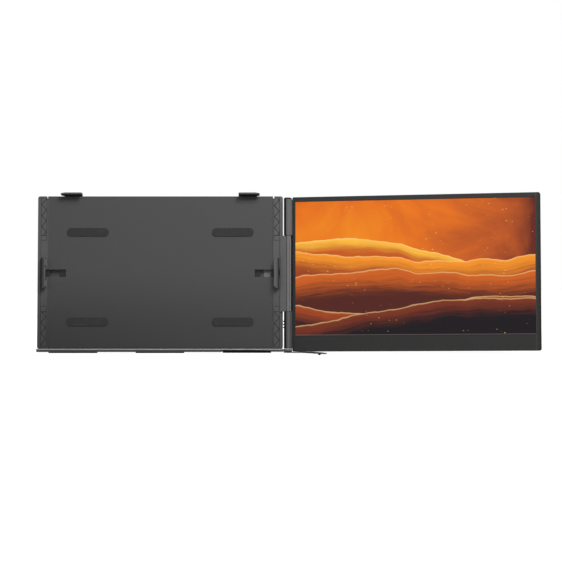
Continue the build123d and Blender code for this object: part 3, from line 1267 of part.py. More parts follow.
with BuildPart() as hdmi_socket:
    build_socket(HDMI_HEIGHT, HDMI_SHELL)
save(hdmi_socket, "mini_hdmi_socket")

with BuildPart() as port_board:
    port_right_x = SCREEN_RIGHT - SCREEN_WALL - SEAT_GAP
    port_x = (port_right_x - PORT_BOARD_WIDTH, port_right_x)
    port_h = (USB_HEIGHTS[0] - PORT_BOARD_MARGIN, HDMI_HEIGHT + PORT_BOARD_MARGIN)
    block(SCREEN_FRONT, port_x, port_h, (SCREEN_BACK_INNER - PORT_BOARD_THICKNESS, SCREEN_BACK_INNER))
    for height, shell in SOCKETS:
        block(
            SCREEN_FRONT,
            (SCREEN_RIGHT - SOCKET_SETBACK - shell[2] - SEAT_GAP, SCREEN_RIGHT),
            (height - shell[0] / 2 - SEAT_GAP, height + shell[0] / 2 + SEAT_GAP),
            (0, SCREEN_DEPTH),
            Mode.SUBTRACT,
        )
save(port_board, "port_board")

with BuildPart() as screen_screws:
    for place in TRAY_SCREWS:
        screw(SCREEN_FRONT, place, SCREEN_DEPTH, SCREW_LENGTH)
save(screen_screws, "screen_case_screws")

# Foot rail, square to the floor, with its top cut to the lean of the frame
RAIL_HEIGHT = FRAME_BOTTOM + RAIL_EXTRA
RAIL_SCREW_SHOULDER = RAIL_SCREW_HEAD_LOW + SCREW_HEAD
LUG_TOP = BARREL_BOTTOM - LUG_GAP
LEG_TOP = LEG_HUB_GAP + LEG_HUB_THICKNESS
POCKET_LEFT_X = LEG_PIVOT[0] - LEG_LENGTH - LEG_TIP_WIDTH / 2 - LEG_POCKET_MARGIN
POCKET_BACK_Y = LEG_PIVOT[1] + LEG_HUB_R + LEG_POCKET_GAP
RIGHT_STRIP_BACK = RAIL_BACK - STRIP_MARGIN
FRONT_STRIP_Y = -RAIL_FRONT + STRIP_MARGIN + RAIL_FRONT_R
STRIPS = (
    (-FRAME_RIGHT + FOOT_STRIP_INSET, FRONT_STRIP_Y),
    (-FOOT_STRIP_LENGTH / 2, FRONT_STRIP_Y),
    (FRAME_RIGHT - FOOT_STRIP_INSET - FOOT_STRIP_LENGTH, POCKET_BACK_Y + STRIP_MARGIN),
)

with BuildPart() as rail:
    with BuildSketch(Plane.YZ.offset(-FRAME_RIGHT)):
        with BuildLine():
            Polyline(
                (-RAIL_FRONT, RAIL_FLOOR_GAP),
                (-RAIL_FRONT, RAIL_HEIGHT),
                (RAIL_BACK, RAIL_HEIGHT),
                (RAIL_BACK, RAIL_FLOOR_GAP),
                close=True,
            )
        make_face()
    extrude(amount=FRAME_WIDTH)
    split(bisect_by=FRAME_PLAN.offset(FRAME_BOTTOM), keep=Keep.BOTTOM)
    front_top = rail.edges().filter_by(Axis.X).sort_by(Axis.Y).group_by(Axis.Y)[0].sort_by(Axis.Z)[-1]
    fillet(front_top, RAIL_FRONT_R)
    # The lug under the hinge, and its bridge to the rail
    with BuildSketch(Plane.XY.offset(LEG_TOP + LEG_POCKET_GAP)) as lug:
        with Locations(LEG_PIVOT):
            Circle(LUG_R)
        with Locations(((FRAME_RIGHT - BRIDGE_ROOT + LEG_PIVOT[0]) / 2, LEG_PIVOT[1])):
            Rectangle(LEG_PIVOT[0] - FRAME_RIGHT + BRIDGE_ROOT, 2 * (LUG_R - BRIDGE_NARROWING))
    extrude(lug.sketch, amount=LUG_TOP - LEG_TOP - LEG_POCKET_GAP)
    # The pocket for the folded leg follows the rise of the leg's top
    with BuildSketch(Plane.XZ.offset(-POCKET_BACK_Y)) as pocket:
        with BuildLine():
            Polyline(
                (POCKET_LEFT_X, 0),
                (POCKET_LEFT_X, LEG_CREST + LEG_POCKET_GAP),
                (LEG_PIVOT[0] - LEG_CREST_REACH, LEG_CREST + LEG_POCKET_GAP),
                (LEG_PIVOT[0] - LEG_HUB_REACH, LEG_TOP + LEG_POCKET_GAP),
                (LEG_PIVOT[0], LEG_TOP + LEG_POCKET_GAP),
                (LEG_PIVOT[0], 0),
                close=True,
            )
        make_face()
    extrude(pocket.sketch, amount=POCKET_BACK_Y + RAIL_FRONT + OVERCUT, mode=Mode.SUBTRACT)
    for left_x, front_y in STRIPS:
        with BuildSketch(Plane.XY) as strip_seat:
            with Locations((left_x + FOOT_STRIP_LENGTH / 2, (front_y + RIGHT_STRIP_BACK) / 2)):
                Rectangle(FOOT_STRIP_LENGTH, RIGHT_STRIP_BACK - front_y)
        extrude(strip_seat.sketch, amount=RAIL_FLOOR_GAP + FOOT_STRIP_RECESS, mode=Mode.SUBTRACT)
    rod(Plane.XY, LEG_PIVOT, LEG_PIN_R + RUNNING_GAP, 0, RAIL_HEIGHT, Mode.SUBTRACT)
    for screw_x in RAIL_SCREWS:
        place = (screw_x, RAIL_SCREW_DEPTH)
        rod(FRAME_PLAN, place, SCREW_R + RUNNING_GAP, 0, RAIL_HEIGHT, Mode.SUBTRACT)
        seat_end = RAIL_SCREW_SHOULDER + RUNNING_GAP
        rod(FRAME_PLAN, place, SCREW_HEAD_R + RUNNING_GAP, 0, seat_end, Mode.SUBTRACT)
save(rail, "foot_rail")

# Screws that hold the rail to the front cover, with a slot across each sunk head
with BuildPart() as rail_screws:
    for screw_x in RAIL_SCREWS:
        place = (screw_x, RAIL_SCREW_DEPTH)
        rod(FRAME_PLAN, place, SCREW_HEAD_R, RAIL_SCREW_HEAD_LOW, RAIL_SCREW_SHOULDER)
        rod(FRAME_PLAN, place, SCREW_R, RAIL_SCREW_SHOULDER, FRAME_BOTTOM + RAIL_SCREW_REACH)
        block(
            FRAME_FRONT,
            (screw_x - SLOT_HALF, screw_x + SLOT_HALF),
            (RAIL_SCREW_HEAD_LOW - OVERCUT, RAIL_SCREW_HEAD_LOW + SLOT_DEPTH),
            (RAIL_SCREW_DEPTH - SLOT_WIDTH / 2, RAIL_SCREW_DEPTH + SLOT_WIDTH / 2),
            Mode.SUBTRACT,
        )
save(rail_screws, "rail_screws")

with BuildPart() as strips:
    for left_x, front_y in STRIPS:
        with BuildSketch(Plane.XY) as strip:
            with Locations((left_x + FOOT_STRIP_LENGTH / 2, (front_y + RIGHT_STRIP_BACK) / 2)):
                Rectangle(FOOT_STRIP_LENGTH - 2 * SEAT_GAP, RIGHT_STRIP_BACK - front_y - 2 * SEAT_GAP)
        extrude(strip.sketch, amount=RAIL_FLOOR_GAP + FOOT_STRIP_RECESS)
save(strips, "foot_strips")


# Swing leg, pivoted under the lug
def along_leg(distance):
    """A point on the floor plan at a distance from the pivot along the leg."""
    angle = math.radians(LEG_ANGLE)
    return (LEG_PIVOT[0] + distance * math.cos(angle), LEG_PIVOT[1] - distance * math.sin(angle))


LEG_PAD_PLACE = along_leg(LEG_LENGTH - LEG_PAD_BACK)
LEG_END = LEG_LENGTH + LEG_TIP_WIDTH / 2
LEG_SIDE = Plane(
    origin=(*LEG_PIVOT, 0),
    x_dir=(math.cos(math.radians(LEG_ANGLE)), -math.sin(math.radians(LEG_ANGLE)), 0),
    z_dir=(-math.sin(math.radians(LEG_ANGLE)), -math.cos(math.radians(LEG_ANGLE)), 0),
)
with BuildPart() as leg:
    with BuildSketch(Plane(Location((*LEG_PIVOT, LEG_HUB_GAP), (0, 0, -LEG_ANGLE)))):
        with BuildLine():
            Polyline(
                (0, -LEG_HUB_R),
                (LEG_NECK, -LEG_BEAM_WIDTH / 2),
                (LEG_LENGTH, -LEG_TIP_WIDTH / 2),
                (LEG_LENGTH, LEG_TIP_WIDTH / 2),
                (LEG_NECK, LEG_BEAM_WIDTH / 2),
                (0, LEG_HUB_R),
                close=True,
            )
        make_face()
        Circle(LEG_HUB_R)
        with Locations((LEG_LENGTH, 0)):
            Circle(LEG_TIP_WIDTH / 2)
    extrude(amount=LEG_CREST - LEG_HUB_GAP)
    # In side view the top rises from the hub and falls to the tip, and the underside leaves the floor
    with BuildSketch(LEG_SIDE) as above:
        with BuildLine():
            Polyline(
                (-LEG_HUB_R - OVERCUT, LEG_TOP),
                (LEG_HUB_REACH, LEG_TOP),
                (LEG_CREST_REACH, LEG_CREST),
                (LEG_LENGTH - LEG_FALL, LEG_CREST),
                (LEG_END + OVERCUT, LEG_TIP_TOP),
                (LEG_END + OVERCUT, LEG_CREST + OVERCUT),
                (-LEG_HUB_R - OVERCUT, LEG_CREST + OVERCUT),
                close=True,
            )
        make_face()
    extrude(above.sketch, amount=LEG_HUB_R + OVERCUT, both=True, mode=Mode.SUBTRACT)
    with BuildSketch(LEG_SIDE) as below:
        with BuildLine():
            Polyline(
                (LEG_HUB_REACH, LEG_HUB_GAP),
                (LEG_UNDERSIDE_REACH, LEG_UNDERSIDE),
                (LEG_END + OVERCUT, LEG_UNDERSIDE),
                (LEG_END + OVERCUT, LEG_HUB_GAP - OVERCUT),
                (LEG_HUB_REACH, LEG_HUB_GAP - OVERCUT),
                close=True,
            )
        make_face()
    extrude(below.sketch, amount=LEG_HUB_R + OVERCUT, both=True, mode=Mode.SUBTRACT)
    # Only the crest's edges that run along the leg are rounded
    along = math.cos(math.radians(LEG_EDGE_ANGLE))
    crest_edges = leg.faces().sort_by(Axis.Z)[-1].edges()
    long_edges = [edge for edge in crest_edges if abs(edge.tangent_at(0).dot(LEG_SIDE.x_dir)) > along]
    fillet(long_edges, LEG_EDGE_R)
    rod(Plane.XY, LEG_PIVOT, LEG_PIN_R + RUNNING_GAP, 0, RAIL_HEIGHT, Mode.SUBTRACT)
    rod(
        Plane.XY,
        LEG_PIVOT,
        LEG_PIN_HEAD_R + RUNNING_GAP,
        0,
        LEG_HUB_GAP + LEG_PIN_HEAD + 2 * RUNNING_GAP,
        Mode.SUBTRACT,
    )
    rod(Plane.XY, LEG_PAD_PLACE, LEG_PAD_R, 0, LEG_UNDERSIDE + LEG_PAD_SEAT, Mode.SUBTRACT)
save(leg, "swing_leg")

with BuildPart() as leg_pad:
    rod(Plane.XY, LEG_PAD_PLACE, LEG_PAD_R - RUNNING_GAP, 0, LEG_UNDERSIDE + LEG_PAD_SEAT)
save(leg_pad, "leg_pad")

with BuildPart() as leg_pin:
    rod(Plane.XY, LEG_PIVOT, LEG_PIN_HEAD_R, LEG_HUB_GAP + RUNNING_GAP, LEG_HUB_GAP + LEG_PIN_HEAD)
    rod(Plane.XY, LEG_PIVOT, LEG_PIN_R, LEG_HUB_GAP + LEG_PIN_HEAD, LUG_TOP)
save(leg_pin, "leg_pivot_pin")
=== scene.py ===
import json
import math

import bpy
from mathutils import Matrix, Vector

# Looks of the clip-on portable monitor. Metres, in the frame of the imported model.
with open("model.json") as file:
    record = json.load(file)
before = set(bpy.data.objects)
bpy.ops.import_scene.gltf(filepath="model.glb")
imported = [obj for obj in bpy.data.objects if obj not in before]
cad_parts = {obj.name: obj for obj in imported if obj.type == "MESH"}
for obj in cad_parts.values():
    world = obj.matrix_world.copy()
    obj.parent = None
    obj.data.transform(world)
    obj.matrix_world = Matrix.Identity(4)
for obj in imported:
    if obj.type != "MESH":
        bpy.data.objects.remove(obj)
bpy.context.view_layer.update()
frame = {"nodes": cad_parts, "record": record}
scene = bpy.context.scene

# Sizes shared with the solids
LEAN_ANGLE = math.radians(3.4)
SCREEN_YAW = math.radians(11.3)
HINGE_X = 0.1848
HINGE_Y = -0.0039
BARREL_TOP = 0.2240
CAP_THICKNESS = 0.0016
FRAME_HALF_WIDTH = 0.17765
PANEL_HALF_WIDTH = 0.16335
GRIP_X = 0.16875
GRIP_HALF_WIDTH = 0.0043
JAW_INNER_X = 0.16665
JAW_STEP_X = 0.17035
CLIP_TOP = 0.2323
ACTIVE_LEFT = 0.1951
ACTIVE_BOTTOM = 0.0252
ACTIVE_WIDTH = 0.3442
ACTIVE_HEIGHT = 0.1936

# Directions of the leaning frame and of the turned screen
LEAN = Matrix.Rotation(-LEAN_ANGLE, 4, "X")
HINGE = Matrix.Translation((HINGE_X, HINGE_Y, 0))
SWING = HINGE @ Matrix.Rotation(-SCREEN_YAW, 4, "Z") @ HINGE.inverted()
SCREEN = LEAN @ SWING
FRAME_BACKWARD = LEAN.to_3x3() @ Vector((0, 1, 0))
FRAME_UP = LEAN.to_3x3() @ Vector((0, 0, 1))
SCREEN_ACROSS = SCREEN.to_3x3() @ Vector((1, 0, 0))
SCREEN_UP = SCREEN.to_3x3() @ Vector((0, 0, 1))
PICTURE_CORNER = SCREEN @ Vector((ACTIVE_LEFT, 0, ACTIVE_BOTTOM))

# How fast a painted line fades at its edges
SHARP = 0.0001
CRISP = 0.0002
SOFT = 0.0003

# The range that most of a noise fills
NOISE_LOW = 0.3
NOISE_HIGH = 0.7

# Camera: level and straight on, with the lens and place that the object's edges gave
CAMERA_PLACE = (0.1749, -2.495, 0.1039)
CAMERA_LENS = 110.69
SENSOR_WIDTH = 36
FARTHEST_SEEN = 100
camera_data = bpy.data.cameras.new("camera")
camera_data.lens = CAMERA_LENS
camera_data.sensor_width = SENSOR_WIDTH
camera_data.clip_end = FARTHEST_SEEN
camera = bpy.data.objects.new("camera", camera_data)
camera.location = CAMERA_PLACE
camera.rotation_euler = (math.radians(90), 0, 0)
scene.collection.objects.link(camera)
scene.camera = camera


# Node helper
class Graph:
    """Adds and joins the nodes of one material."""

    def __init__(self, name, tree=None):
        if tree is None:
            self.material = bpy.data.materials.new(name)
            self.material.use_nodes = True
            tree = self.material.node_tree
        self.tree = tree
        self.tree.nodes.clear()

    def put(self, socket, value):
        """Joins a socket to another one, or sets its own value."""
        if isinstance(value, bpy.types.NodeSocket):
            self.tree.links.new(value, socket)
        elif value is not None:
            socket.default_value = value

    def node(self, kind, inputs=None, **settings):
        """A node with its settings, and its inputs given by name or number."""
        made = self.tree.nodes.new(kind)
        for key, value in settings.items():
            setattr(made, key, value)
        for key, value in (inputs or {}).items():
            self.put(made.inputs[key], value)
        return made

    def math(self, operation, first, second=None, third=None):
        inputs = {0: first, 1: second, 2: third}
        return self.node("ShaderNodeMath", inputs, operation=operation).outputs[0]

    def times(self, first, second):
        return self.math("MULTIPLY", first, second)

    def weighted(self, *terms):
        """The sum of some values, each times its weight."""
        total = None
        for value, weight in terms:
            share = value if weight == 1 else self.times(value, weight)
            total = share if total is None else self.math("ADD", total, share)
        return total

    def dot(self, vector, direction):
        inputs = {0: vector, 1: tuple(direction)}
        return self.node("ShaderNodeVectorMath", inputs, operation="DOT_PRODUCT").outputs["Value"]

    def shift(self, vector, offset):
        inputs = {0: vector, 1: tuple(offset)}
        return self.node("ShaderNodeVectorMath", inputs, operation="SUBTRACT").outputs[0]

    def stretch(self, vector, factors):
        inputs = {0: vector, 1: tuple(factors)}
        return self.node("ShaderNodeVectorMath", inputs, operation="MULTIPLY").outputs[0]

    def join_xyz(self, x, y, z=0.0):
        return self.node("ShaderNodeCombineXYZ", {0: x, 1: y, 2: z}).outputs[0]

    def part_of(self, vector, axis):
        """One coordinate of a vector."""
        return self.node("ShaderNodeSeparateXYZ", {0: vector}).outputs[axis]

    def place(self):
        """The point on the object, in its own frame, which stays with it in every pose."""
        return self.node("ShaderNodeTexCoord").outputs["Object"]

    def facing_up(self):
        """How far the surface faces up: one on a level top and nothing on a wall."""
        return self.part_of(self.node("ShaderNodeNewGeometry").outputs["Normal"], "Z")

    def seen(self):
        """One for the rays that meet the background: from the camera, off a gloss or through clear stuff."""
        ray = self.node("ShaderNodeLightPath").outputs
        bent = self.math("MAXIMUM", ray["Is Glossy Ray"], ray["Is Transmission Ray"])
        return self.math("MAXIMUM", ray["Is Camera Ray"], bent)

    def noise(self, vector, scale, detail=3.0, roughness=0.5, distortion=0.0):
        inputs = {"Vector": vector, "Scale": scale, "Detail": detail, "Roughness": roughness}
        inputs["Distortion"] = distortion
        return self.node("ShaderNodeTexNoise", inputs).outputs["Fac"]

    def cells(self, vector, scale):
        inputs = {"Vector": vector, "Scale": scale}
        return self.node("ShaderNodeTexVoronoi", inputs, feature="F1").outputs["Distance"]

    def spread(self, value, low, high, to_low, to_high, smooth=False):
        """Maps a value from one range to another, held at the ends."""
        kind = "SMOOTHSTEP" if smooth else "LINEAR"
        inputs = {0: value, 1: low, 2: high, 3: to_low, 4: to_high}
        return self.node("ShaderNodeMapRange", inputs, interpolation_type=kind).outputs[0]

    def rise(self, value, start, end, amount=1.0, smooth=False):
        """Nothing up to the start, and the whole amount from the end on."""
        return self.spread(value, start, end, 0.0, amount, smooth)

    def fall(self, value, start, end, amount=1.0, smooth=False):
        """The whole amount up to the start, and nothing from the end on."""
        return self.spread(value, start, end, amount, 0.0, smooth)

    def band(self, value, low, high, soft):
        """One between two limits and nothing outside them."""
        return self.times(
            self.rise(value, low - soft, low + soft),
            self.fall(value, high - soft, high + soft),
        )

    def even(self, noise, to_low=0.0, to_high=1.0):
        """Spreads the range that most of a noise fills over another."""
        return self.spread(noise, NOISE_LOW, NOISE_HIGH, to_low, to_high)

    def mix(self, factor, first, second, blend="MIX"):
        made = self.node("ShaderNodeMix", data_type="RGBA", blend_type=blend)
        self.put(made.inputs["Factor"], factor)
        self.put(made.inputs["A"], first)
        self.put(made.inputs["B"], second)
        return made.outputs["Result"]

    def ramp(self, factor, stops):
        """A colour ramp from pairs of position and colour."""
        made = self.node("ShaderNodeValToRGB", {0: factor})
        ramp = made.color_ramp
        while len(ramp.elements) < len(stops):
            ramp.elements.new(0.5)
        for element, (position, color) in zip(ramp.elements, stops):
            element.position = position
            element.color = color
        return made.outputs[0]

    def bump(self, height, distance, strength, bevel=0.0):
        """A bumped normal over edges that look rounded by a bevel radius."""
        inputs = {"Height": height, "Distance": distance, "Strength": strength}
        made = self.node("ShaderNodeBump", inputs)
        if bevel:
            soft = self.node("ShaderNodeBevel", {"Radius": bevel}, samples=4)
            self.put(made.inputs["Normal"], soft.outputs[0])
        return made.outputs[0]

    def surface(self, **inputs):
        """The principled shader, joined to the output."""
        shader = self.node("ShaderNodeBsdfPrincipled")
        for key, value in inputs.items():
            self.put(shader.inputs[key.replace("_", " ").title().replace("Ior", "IOR")], value)
        output = self.node("ShaderNodeOutputMaterial")
        self.tree.links.new(shader.outputs[0], output.inputs["Surface"])
        return self.material


# Colours
def grey(level, blue=0.0):
    """A grey, with a little more or less blue."""
    return (level, level, level + blue, 1.0)


def tone(color, factor):
    """A colour made lighter or darker."""
    return tuple(min(1.0, channel * factor) for channel in color[:3]) + (1.0,)


FRAME_GREY = grey(0.090, 0.0005)
FRAME_SHADE = tone(FRAME_GREY, 0.12)
SHADE = grey(0.020)
DEEP_SHADE = grey(0.012)
NEAR_BLACK = grey(0.006)

# Rounding that edges of plastic and metal seem to have
EDGE_BEVEL = 0.0003

# Scales of the marks on plastic, in marks to the metre
FLOW_SCALE = 22.0
FLOW_STRETCH = (1.0, 1.0, 0.35)
RUB_SCALE = 75.0


# Moulded plastic: a fine eroded grain, faint flow marks and rubbed patches
def moulded(
    name, color, roughness, grain=0.0006, depth=0.00003, variation=0.06, shape=None, specular=0.22
):
    g = Graph(name)
    place = g.place()
    fine = g.noise(place, 1 / grain, detail=2.0, roughness=0.6)
    pits = g.cells(place, 0.7 / grain)
    flow_place = g.stretch(place, FLOW_STRETCH)
    flow = g.noise(flow_place, FLOW_SCALE, detail=4.0, roughness=0.55, distortion=0.4)
    rubs = g.noise(place, RUB_SCALE, detail=5.0, roughness=0.7, distortion=1.2)
    rubbed = g.rise(rubs, 0.56, 0.72, amount=0.35, smooth=True)
    shade = g.even(g.weighted((fine, 0.45), (flow, 0.55)))
    base = g.mix(shade, tone(color, 1 - variation), tone(color, 1 + variation))
    base = g.mix(rubbed, base, tone(color, 1 + 1.6 * variation))
    if shape:
        base = shape(g, place, base)
    wear = g.weighted((flow, 1), (rubbed, -0.4))
    gloss = g.spread(wear, 0.2, 0.8, roughness - 0.06, roughness + 0.07)
    normal = g.bump(g.weighted((fine, 1), (pits, 0.6)), depth, strength=0.6, bevel=EDGE_BEVEL)
    return g.surface(base_color=base, roughness=gloss, normal=normal, specular_ior_level=specular)


# Grain of brushed metal
BRUSH_GRAIN = 0.00025
BRUSH_DEPTH = 0.00002
BRUSH_VARIATION = 0.08
WEAR_SCALE = 30.0


# Metal with a drawn or brushed grain along one direction
def brushed(name, color, roughness, along, metallic=1.0, shape=None, specular=0.22):
    g = Graph(name)
    place = g.place()
    lines = g.noise(g.stretch(place, along), 1 / BRUSH_GRAIN, detail=3.0, roughness=0.65)
    broad = g.noise(place, WEAR_SCALE, detail=4.0, roughness=0.6)
    scratch_place = g.stretch(place, [0.6 * factor + 0.1 for factor in along])
    scratches = g.noise(scratch_place, 0.25 / BRUSH_GRAIN, detail=2.0, roughness=0.4)
    worn = g.rise(broad, 0.5, 0.75, amount=0.4, smooth=True)
    shade = g.even(g.weighted((lines, 0.6), (broad, 0.4)))
    base = g.mix(shade, tone(color, 1 - BRUSH_VARIATION), tone(color, 1 + BRUSH_VARIATION))
    base = g.mix(worn, base, tone(color, 1 + 1.4 * BRUSH_VARIATION))
    if shape:
        base = shape(g, place, base)
    gloss = g.even(lines, roughness - 0.07, roughness + 0.08)
    normal = g.bump(g.weighted((lines, 1), (scratches, 0.5)), BRUSH_DEPTH, strength=0.5, bevel=EDGE_BEVEL)
    return g.surface(
        base_color=base,
        roughness=gloss,
        normal=normal,
        metallic=metallic,
        specular_ior_level=specular,
    )


# Painted metal: the brushed grain without the gloss of bare metal
def painted(name, *values, **settings):
    return brushed(name, *values, metallic=0.0, **settings)


# Rubber's dust, depth of grain and rounding
DUST_SCALE = 60.0
RUBBER_DEPTH = 0.00004
RUBBER_BEVEL = 0.0002


# Rubber: dusty, almost without gloss
def rubber(name, color, grain=0.0005, shape=None):
    g = Graph(name)
    place = g.place()
    fine = g.noise(place, 1 / grain, detail=4.0, roughness=0.7)
    dust = g.noise(place, DUST_SCALE, detail=5.0, roughness=0.65, distortion=0.6)
    dusty = g.rise(dust, 0.48, 0.75, amount=0.5, smooth=True)
    base = g.mix(g.even(fine), tone(color, 0.8), tone(color, 1.25))
    base = g.mix(dusty, base, tone(color, 2.0))
    if shape:
        base = shape(g, place, base)
    gloss = g.even(dust, 0.72, 0.9)
    normal = g.bump(fine, RUBBER_DEPTH, strength=0.7, bevel=RUBBER_BEVEL)
    return g.surface(base_color=base, roughness=gloss, normal=normal, specular_ior_level=0.2)


# The lining's front ends and the painted shade on its side starts between these depths
LINING_FRONT = -0.0056
LINING_SIDE = -0.0052


def lining_side_shade(g, place, base):
    """A pale lining with painted shade along its side, behind its front edge."""
    side = g.rise(g.dot(place, FRAME_BACKWARD), LINING_FRONT, LINING_SIDE, amount=0.9)
    return g.mix(side, base, DEEP_SHADE)


# Painted shade: the frame is darkest up to the first height and unchanged from the second, between two sides
DARK_HEIGHT = 0.02
PLAIN_HEIGHT = 0.13
DARKENED_SIDE = 0.17
LEFT_DARKENING = 0.50
RIGHT_DARKENING = 0.26


def painted_foot_shade(g, place, base):
    """Paints shade on the frame towards its foot, on the left more than on the right."""
    low = g.fall(g.part_of(place, "Z"), DARK_HEIGHT, PLAIN_HEIGHT, smooth=True)
    x = g.part_of(place, "X")
    amount = g.spread(x, -DARKENED_SIDE, DARKENED_SIDE, LEFT_DARKENING, RIGHT_DARKENING)
    return g.mix(g.times(low, amount), base, FRAME_SHADE)


# The middle panel's emboss, the painted light on the right edge, and the painted shade on the seats under
# the grip panels
EMBOSS_PITCH = 0.0034
EMBOSS_DEPTHS = (0.0010, 0.0015)
EMBOSS_FULL = 0.0012
EMBOSS_END = 0.0004
LIT_RIM_START = 0.1725
LIT_RIM_END = 0.1770
SEAT_MARGIN = 0.0001
SEAT_DEPTHS = (0.0002, 0.0021)


def weave(g, place):
    """A woven pattern of low squares."""
    wave = 2 * math.pi / EMBOSS_PITCH
    across = g.math("SINE", g.times(g.part_of(place, "X"), wave))
    upward = g.math("SINE", g.times(g.part_of(place, "Z"), wave))
    return g.rise(g.times(across, upward), -0.6, 0.6, smooth=True)


def panel_emboss(g, place, base):
    """Darkens and embosses the recessed middle panel, paints light on the right column's edge, and paints
    shade towards the foot and on the grip panels' seats.
    """
    x = g.part_of(place, "X")
    out = g.math("ABSOLUTE", x)
    depth = g.dot(place, FRAME_BACKWARD)
    inside = g.fall(out, PANEL_HALF_WIDTH - EMBOSS_FULL, PANEL_HALF_WIDTH - EMBOSS_END)
    recessed = g.band(depth, *EMBOSS_DEPTHS, SHARP)
    woven = g.mix(weave(g, place), tone(FRAME_GREY, 0.66), tone(FRAME_GREY, 0.82))
    base = g.mix(g.times(inside, recessed), base, woven)
    # Painted light: the right column is paler towards its edge
    base = g.mix(g.rise(x, LIT_RIM_START, LIT_RIM_END), base, tone(FRAME_GREY, 1.38))
    base = painted_foot_shade(g, place, base)
    # Painted shade: the seat of each grip panel is dark where it shows round the panel
    half = GRIP_HALF_WIDTH + SEAT_MARGIN
    seat = g.times(g.band(out, GRIP_X - half, GRIP_X + half, SHARP), g.band(depth, *SEAT_DEPTHS, SHARP))
    return g.mix(seat, base, tone(FRAME_GREY, 0.16))


# The grip panels' rim, painted darker as shade, and the depths where their grooves start and are painted
# dark as shade
GRIP_RIM_START = 0.0008
GRIP_RIM_FULL = 0.0004
GROOVE_START = 0.00005
GROOVE_DARK = 0.0003


def grip_lines(g, place, base):
    """Paints shade on the floor of the zigzag grooves and on the rim."""
    out = g.math("ABSOLUTE", g.part_of(place, "X"))
    off_middle = g.math("ABSOLUTE", g.math("SUBTRACT", out, GRIP_X))
    rim_start = GRIP_HALF_WIDTH - GRIP_RIM_START
    rim = g.rise(off_middle, rim_start, GRIP_HALF_WIDTH - GRIP_RIM_FULL, amount=0.35)
    base = g.mix(rim, base, tone(FRAME_GREY, 0.3))
    base = painted_foot_shade(g, place, base)
    groove = g.rise(g.dot(place, FRAME_BACKWARD), GROOVE_START, GROOVE_DARK, amount=0.95)
    return g.mix(groove, base, FRAME_SHADE)


# Width of the left jaw's pale inner edge, and how near the middle the left side ends
JAW_EDGE_WIDTH = 0.0006
SIDE_CHANGE = 0.01


def clamp_bands(g, place, base):
    """Painted shade on both jaws, darker outwards and darkest on the outer step, and on the left one's body,
    which leaves a pale inner edge.
    """
    x = g.part_of(place, "X")
    out = g.math("ABSOLUTE", x)
    left = g.fall(x, -SIDE_CHANGE, SIDE_CHANGE)
    outward = g.rise(out, JAW_INNER_X, JAW_STEP_X, amount=0.62)
    base = g.mix(outward, base, tone(FRAME_GREY, 0.3))
    body = g.times(left, g.band(out, JAW_INNER_X + JAW_EDGE_WIDTH, JAW_STEP_X, CRISP))
    base = g.mix(g.times(body, 0.7), base, tone(FRAME_GREY, 0.25))
    step = g.rise(out, JAW_STEP_X - SHARP, JAW_STEP_X + CRISP, amount=0.85)
    return g.mix(step, base, FRAME_SHADE)


# Where the painted light on a clip's top starts and is full, below its top
CLIP_PALE_START = 0.0030
CLIP_PALE_FULL = 0.0010


def lit_clip_top(g, place, base):
    """Painted light on the rounded top edge of a clip, paler than the rest."""
    height = g.dot(place, FRAME_UP)
    top = g.rise(height, CLIP_TOP - CLIP_PALE_START, CLIP_TOP - CLIP_PALE_FULL, smooth=True)
    return g.mix(top, base, grey(0.13, 0.002))


# Painted light: the rail is pale where it slopes between these, and its lug above this height
SLOPE_STEEP = 0.22
SLOPE_LEVEL = 0.86
SLOPE_SOFT = 0.08
LUG_BAND = 0.0040


def lit_rail_slope(g, place, base):
    """Painted light on the rail's rounded edge where it slopes, and on the upper half of its lug."""
    slope = g.band(g.facing_up(), SLOPE_STEEP, SLOPE_LEVEL, SLOPE_SOFT)
    base = g.mix(slope, base, grey(0.265, 0.005))
    lug = g.rise(g.part_of(place, "X"), FRAME_HALF_WIDTH - CRISP, FRAME_HALF_WIDTH + CRISP)
    upper = g.rise(g.part_of(place, "Z"), LUG_BAND - SOFT, LUG_BAND + SOFT)
    return g.mix(g.times(lug, upper), base, grey(0.20, 0.005))


# Painted light: the leg is pale where it faces up between these
LEG_TOP = (0.5, 0.9)


def lit_leg_top(g, place, base):
    """Painted light on the leg's top, paler than its dark sides."""
    return g.mix(g.rise(g.facing_up(), *LEG_TOP, smooth=True), base, grey(0.17, 0.005))


# The arm's painted highlight and painted shade lines, by their x from the hinge's middle
SEAM = (HINGE_X - 0.0024, HINGE_X - 0.0012)
KNUCKLE_FULL = HINGE_X - 0.0006
# The dark line that splits the painted highlight
HIGHLIGHT_SPLIT = (HINGE_X + 0.0017, HINGE_X + 0.0028)
HIGHLIGHT_FULL = HINGE_X + 0.0034
ARM_SHADE = (HINGE_X + 0.0042, HINGE_X + 0.0046)


def arm_light_and_shade(g, place, base):
    """Painted shade in the seams beside the knuckle, a painted highlight on the right side split by a dark
    line, and painted shade where it ends.
    """
    x = g.part_of(place, "X")
    base = g.mix(g.rise(x, SEAM[1], KNUCKLE_FULL), base, grey(0.158, 0.002))
    base = g.mix(g.rise(x, HIGHLIGHT_SPLIT[1], HIGHLIGHT_FULL, amount=0.4), base, grey(0.26, 0.003))
    base = g.mix(g.band(x, *HIGHLIGHT_SPLIT, SOFT), base, grey(0.085, 0.001))
    base = g.mix(g.rise(x, *ARM_SHADE, amount=0.9), base, SHADE)
    return g.mix(g.band(x, *SEAM, SOFT), base, grey(0.055, 0.001))


# The barrels' shades, by their x from the hinge's middle, and where the lower barrel ends
FRAME_SIDE_SHADE = (HINGE_X - 0.0034, HINGE_X - 0.0016)
LOWER_LEFT_SHADE = (HINGE_X - 0.0022, HINGE_X + 0.0006)
LOWER_RIGHT_SHADE = (HINGE_X + 0.0012, HINGE_X + 0.0034)
LOWER_BARREL_END = (0.058, 0.062)


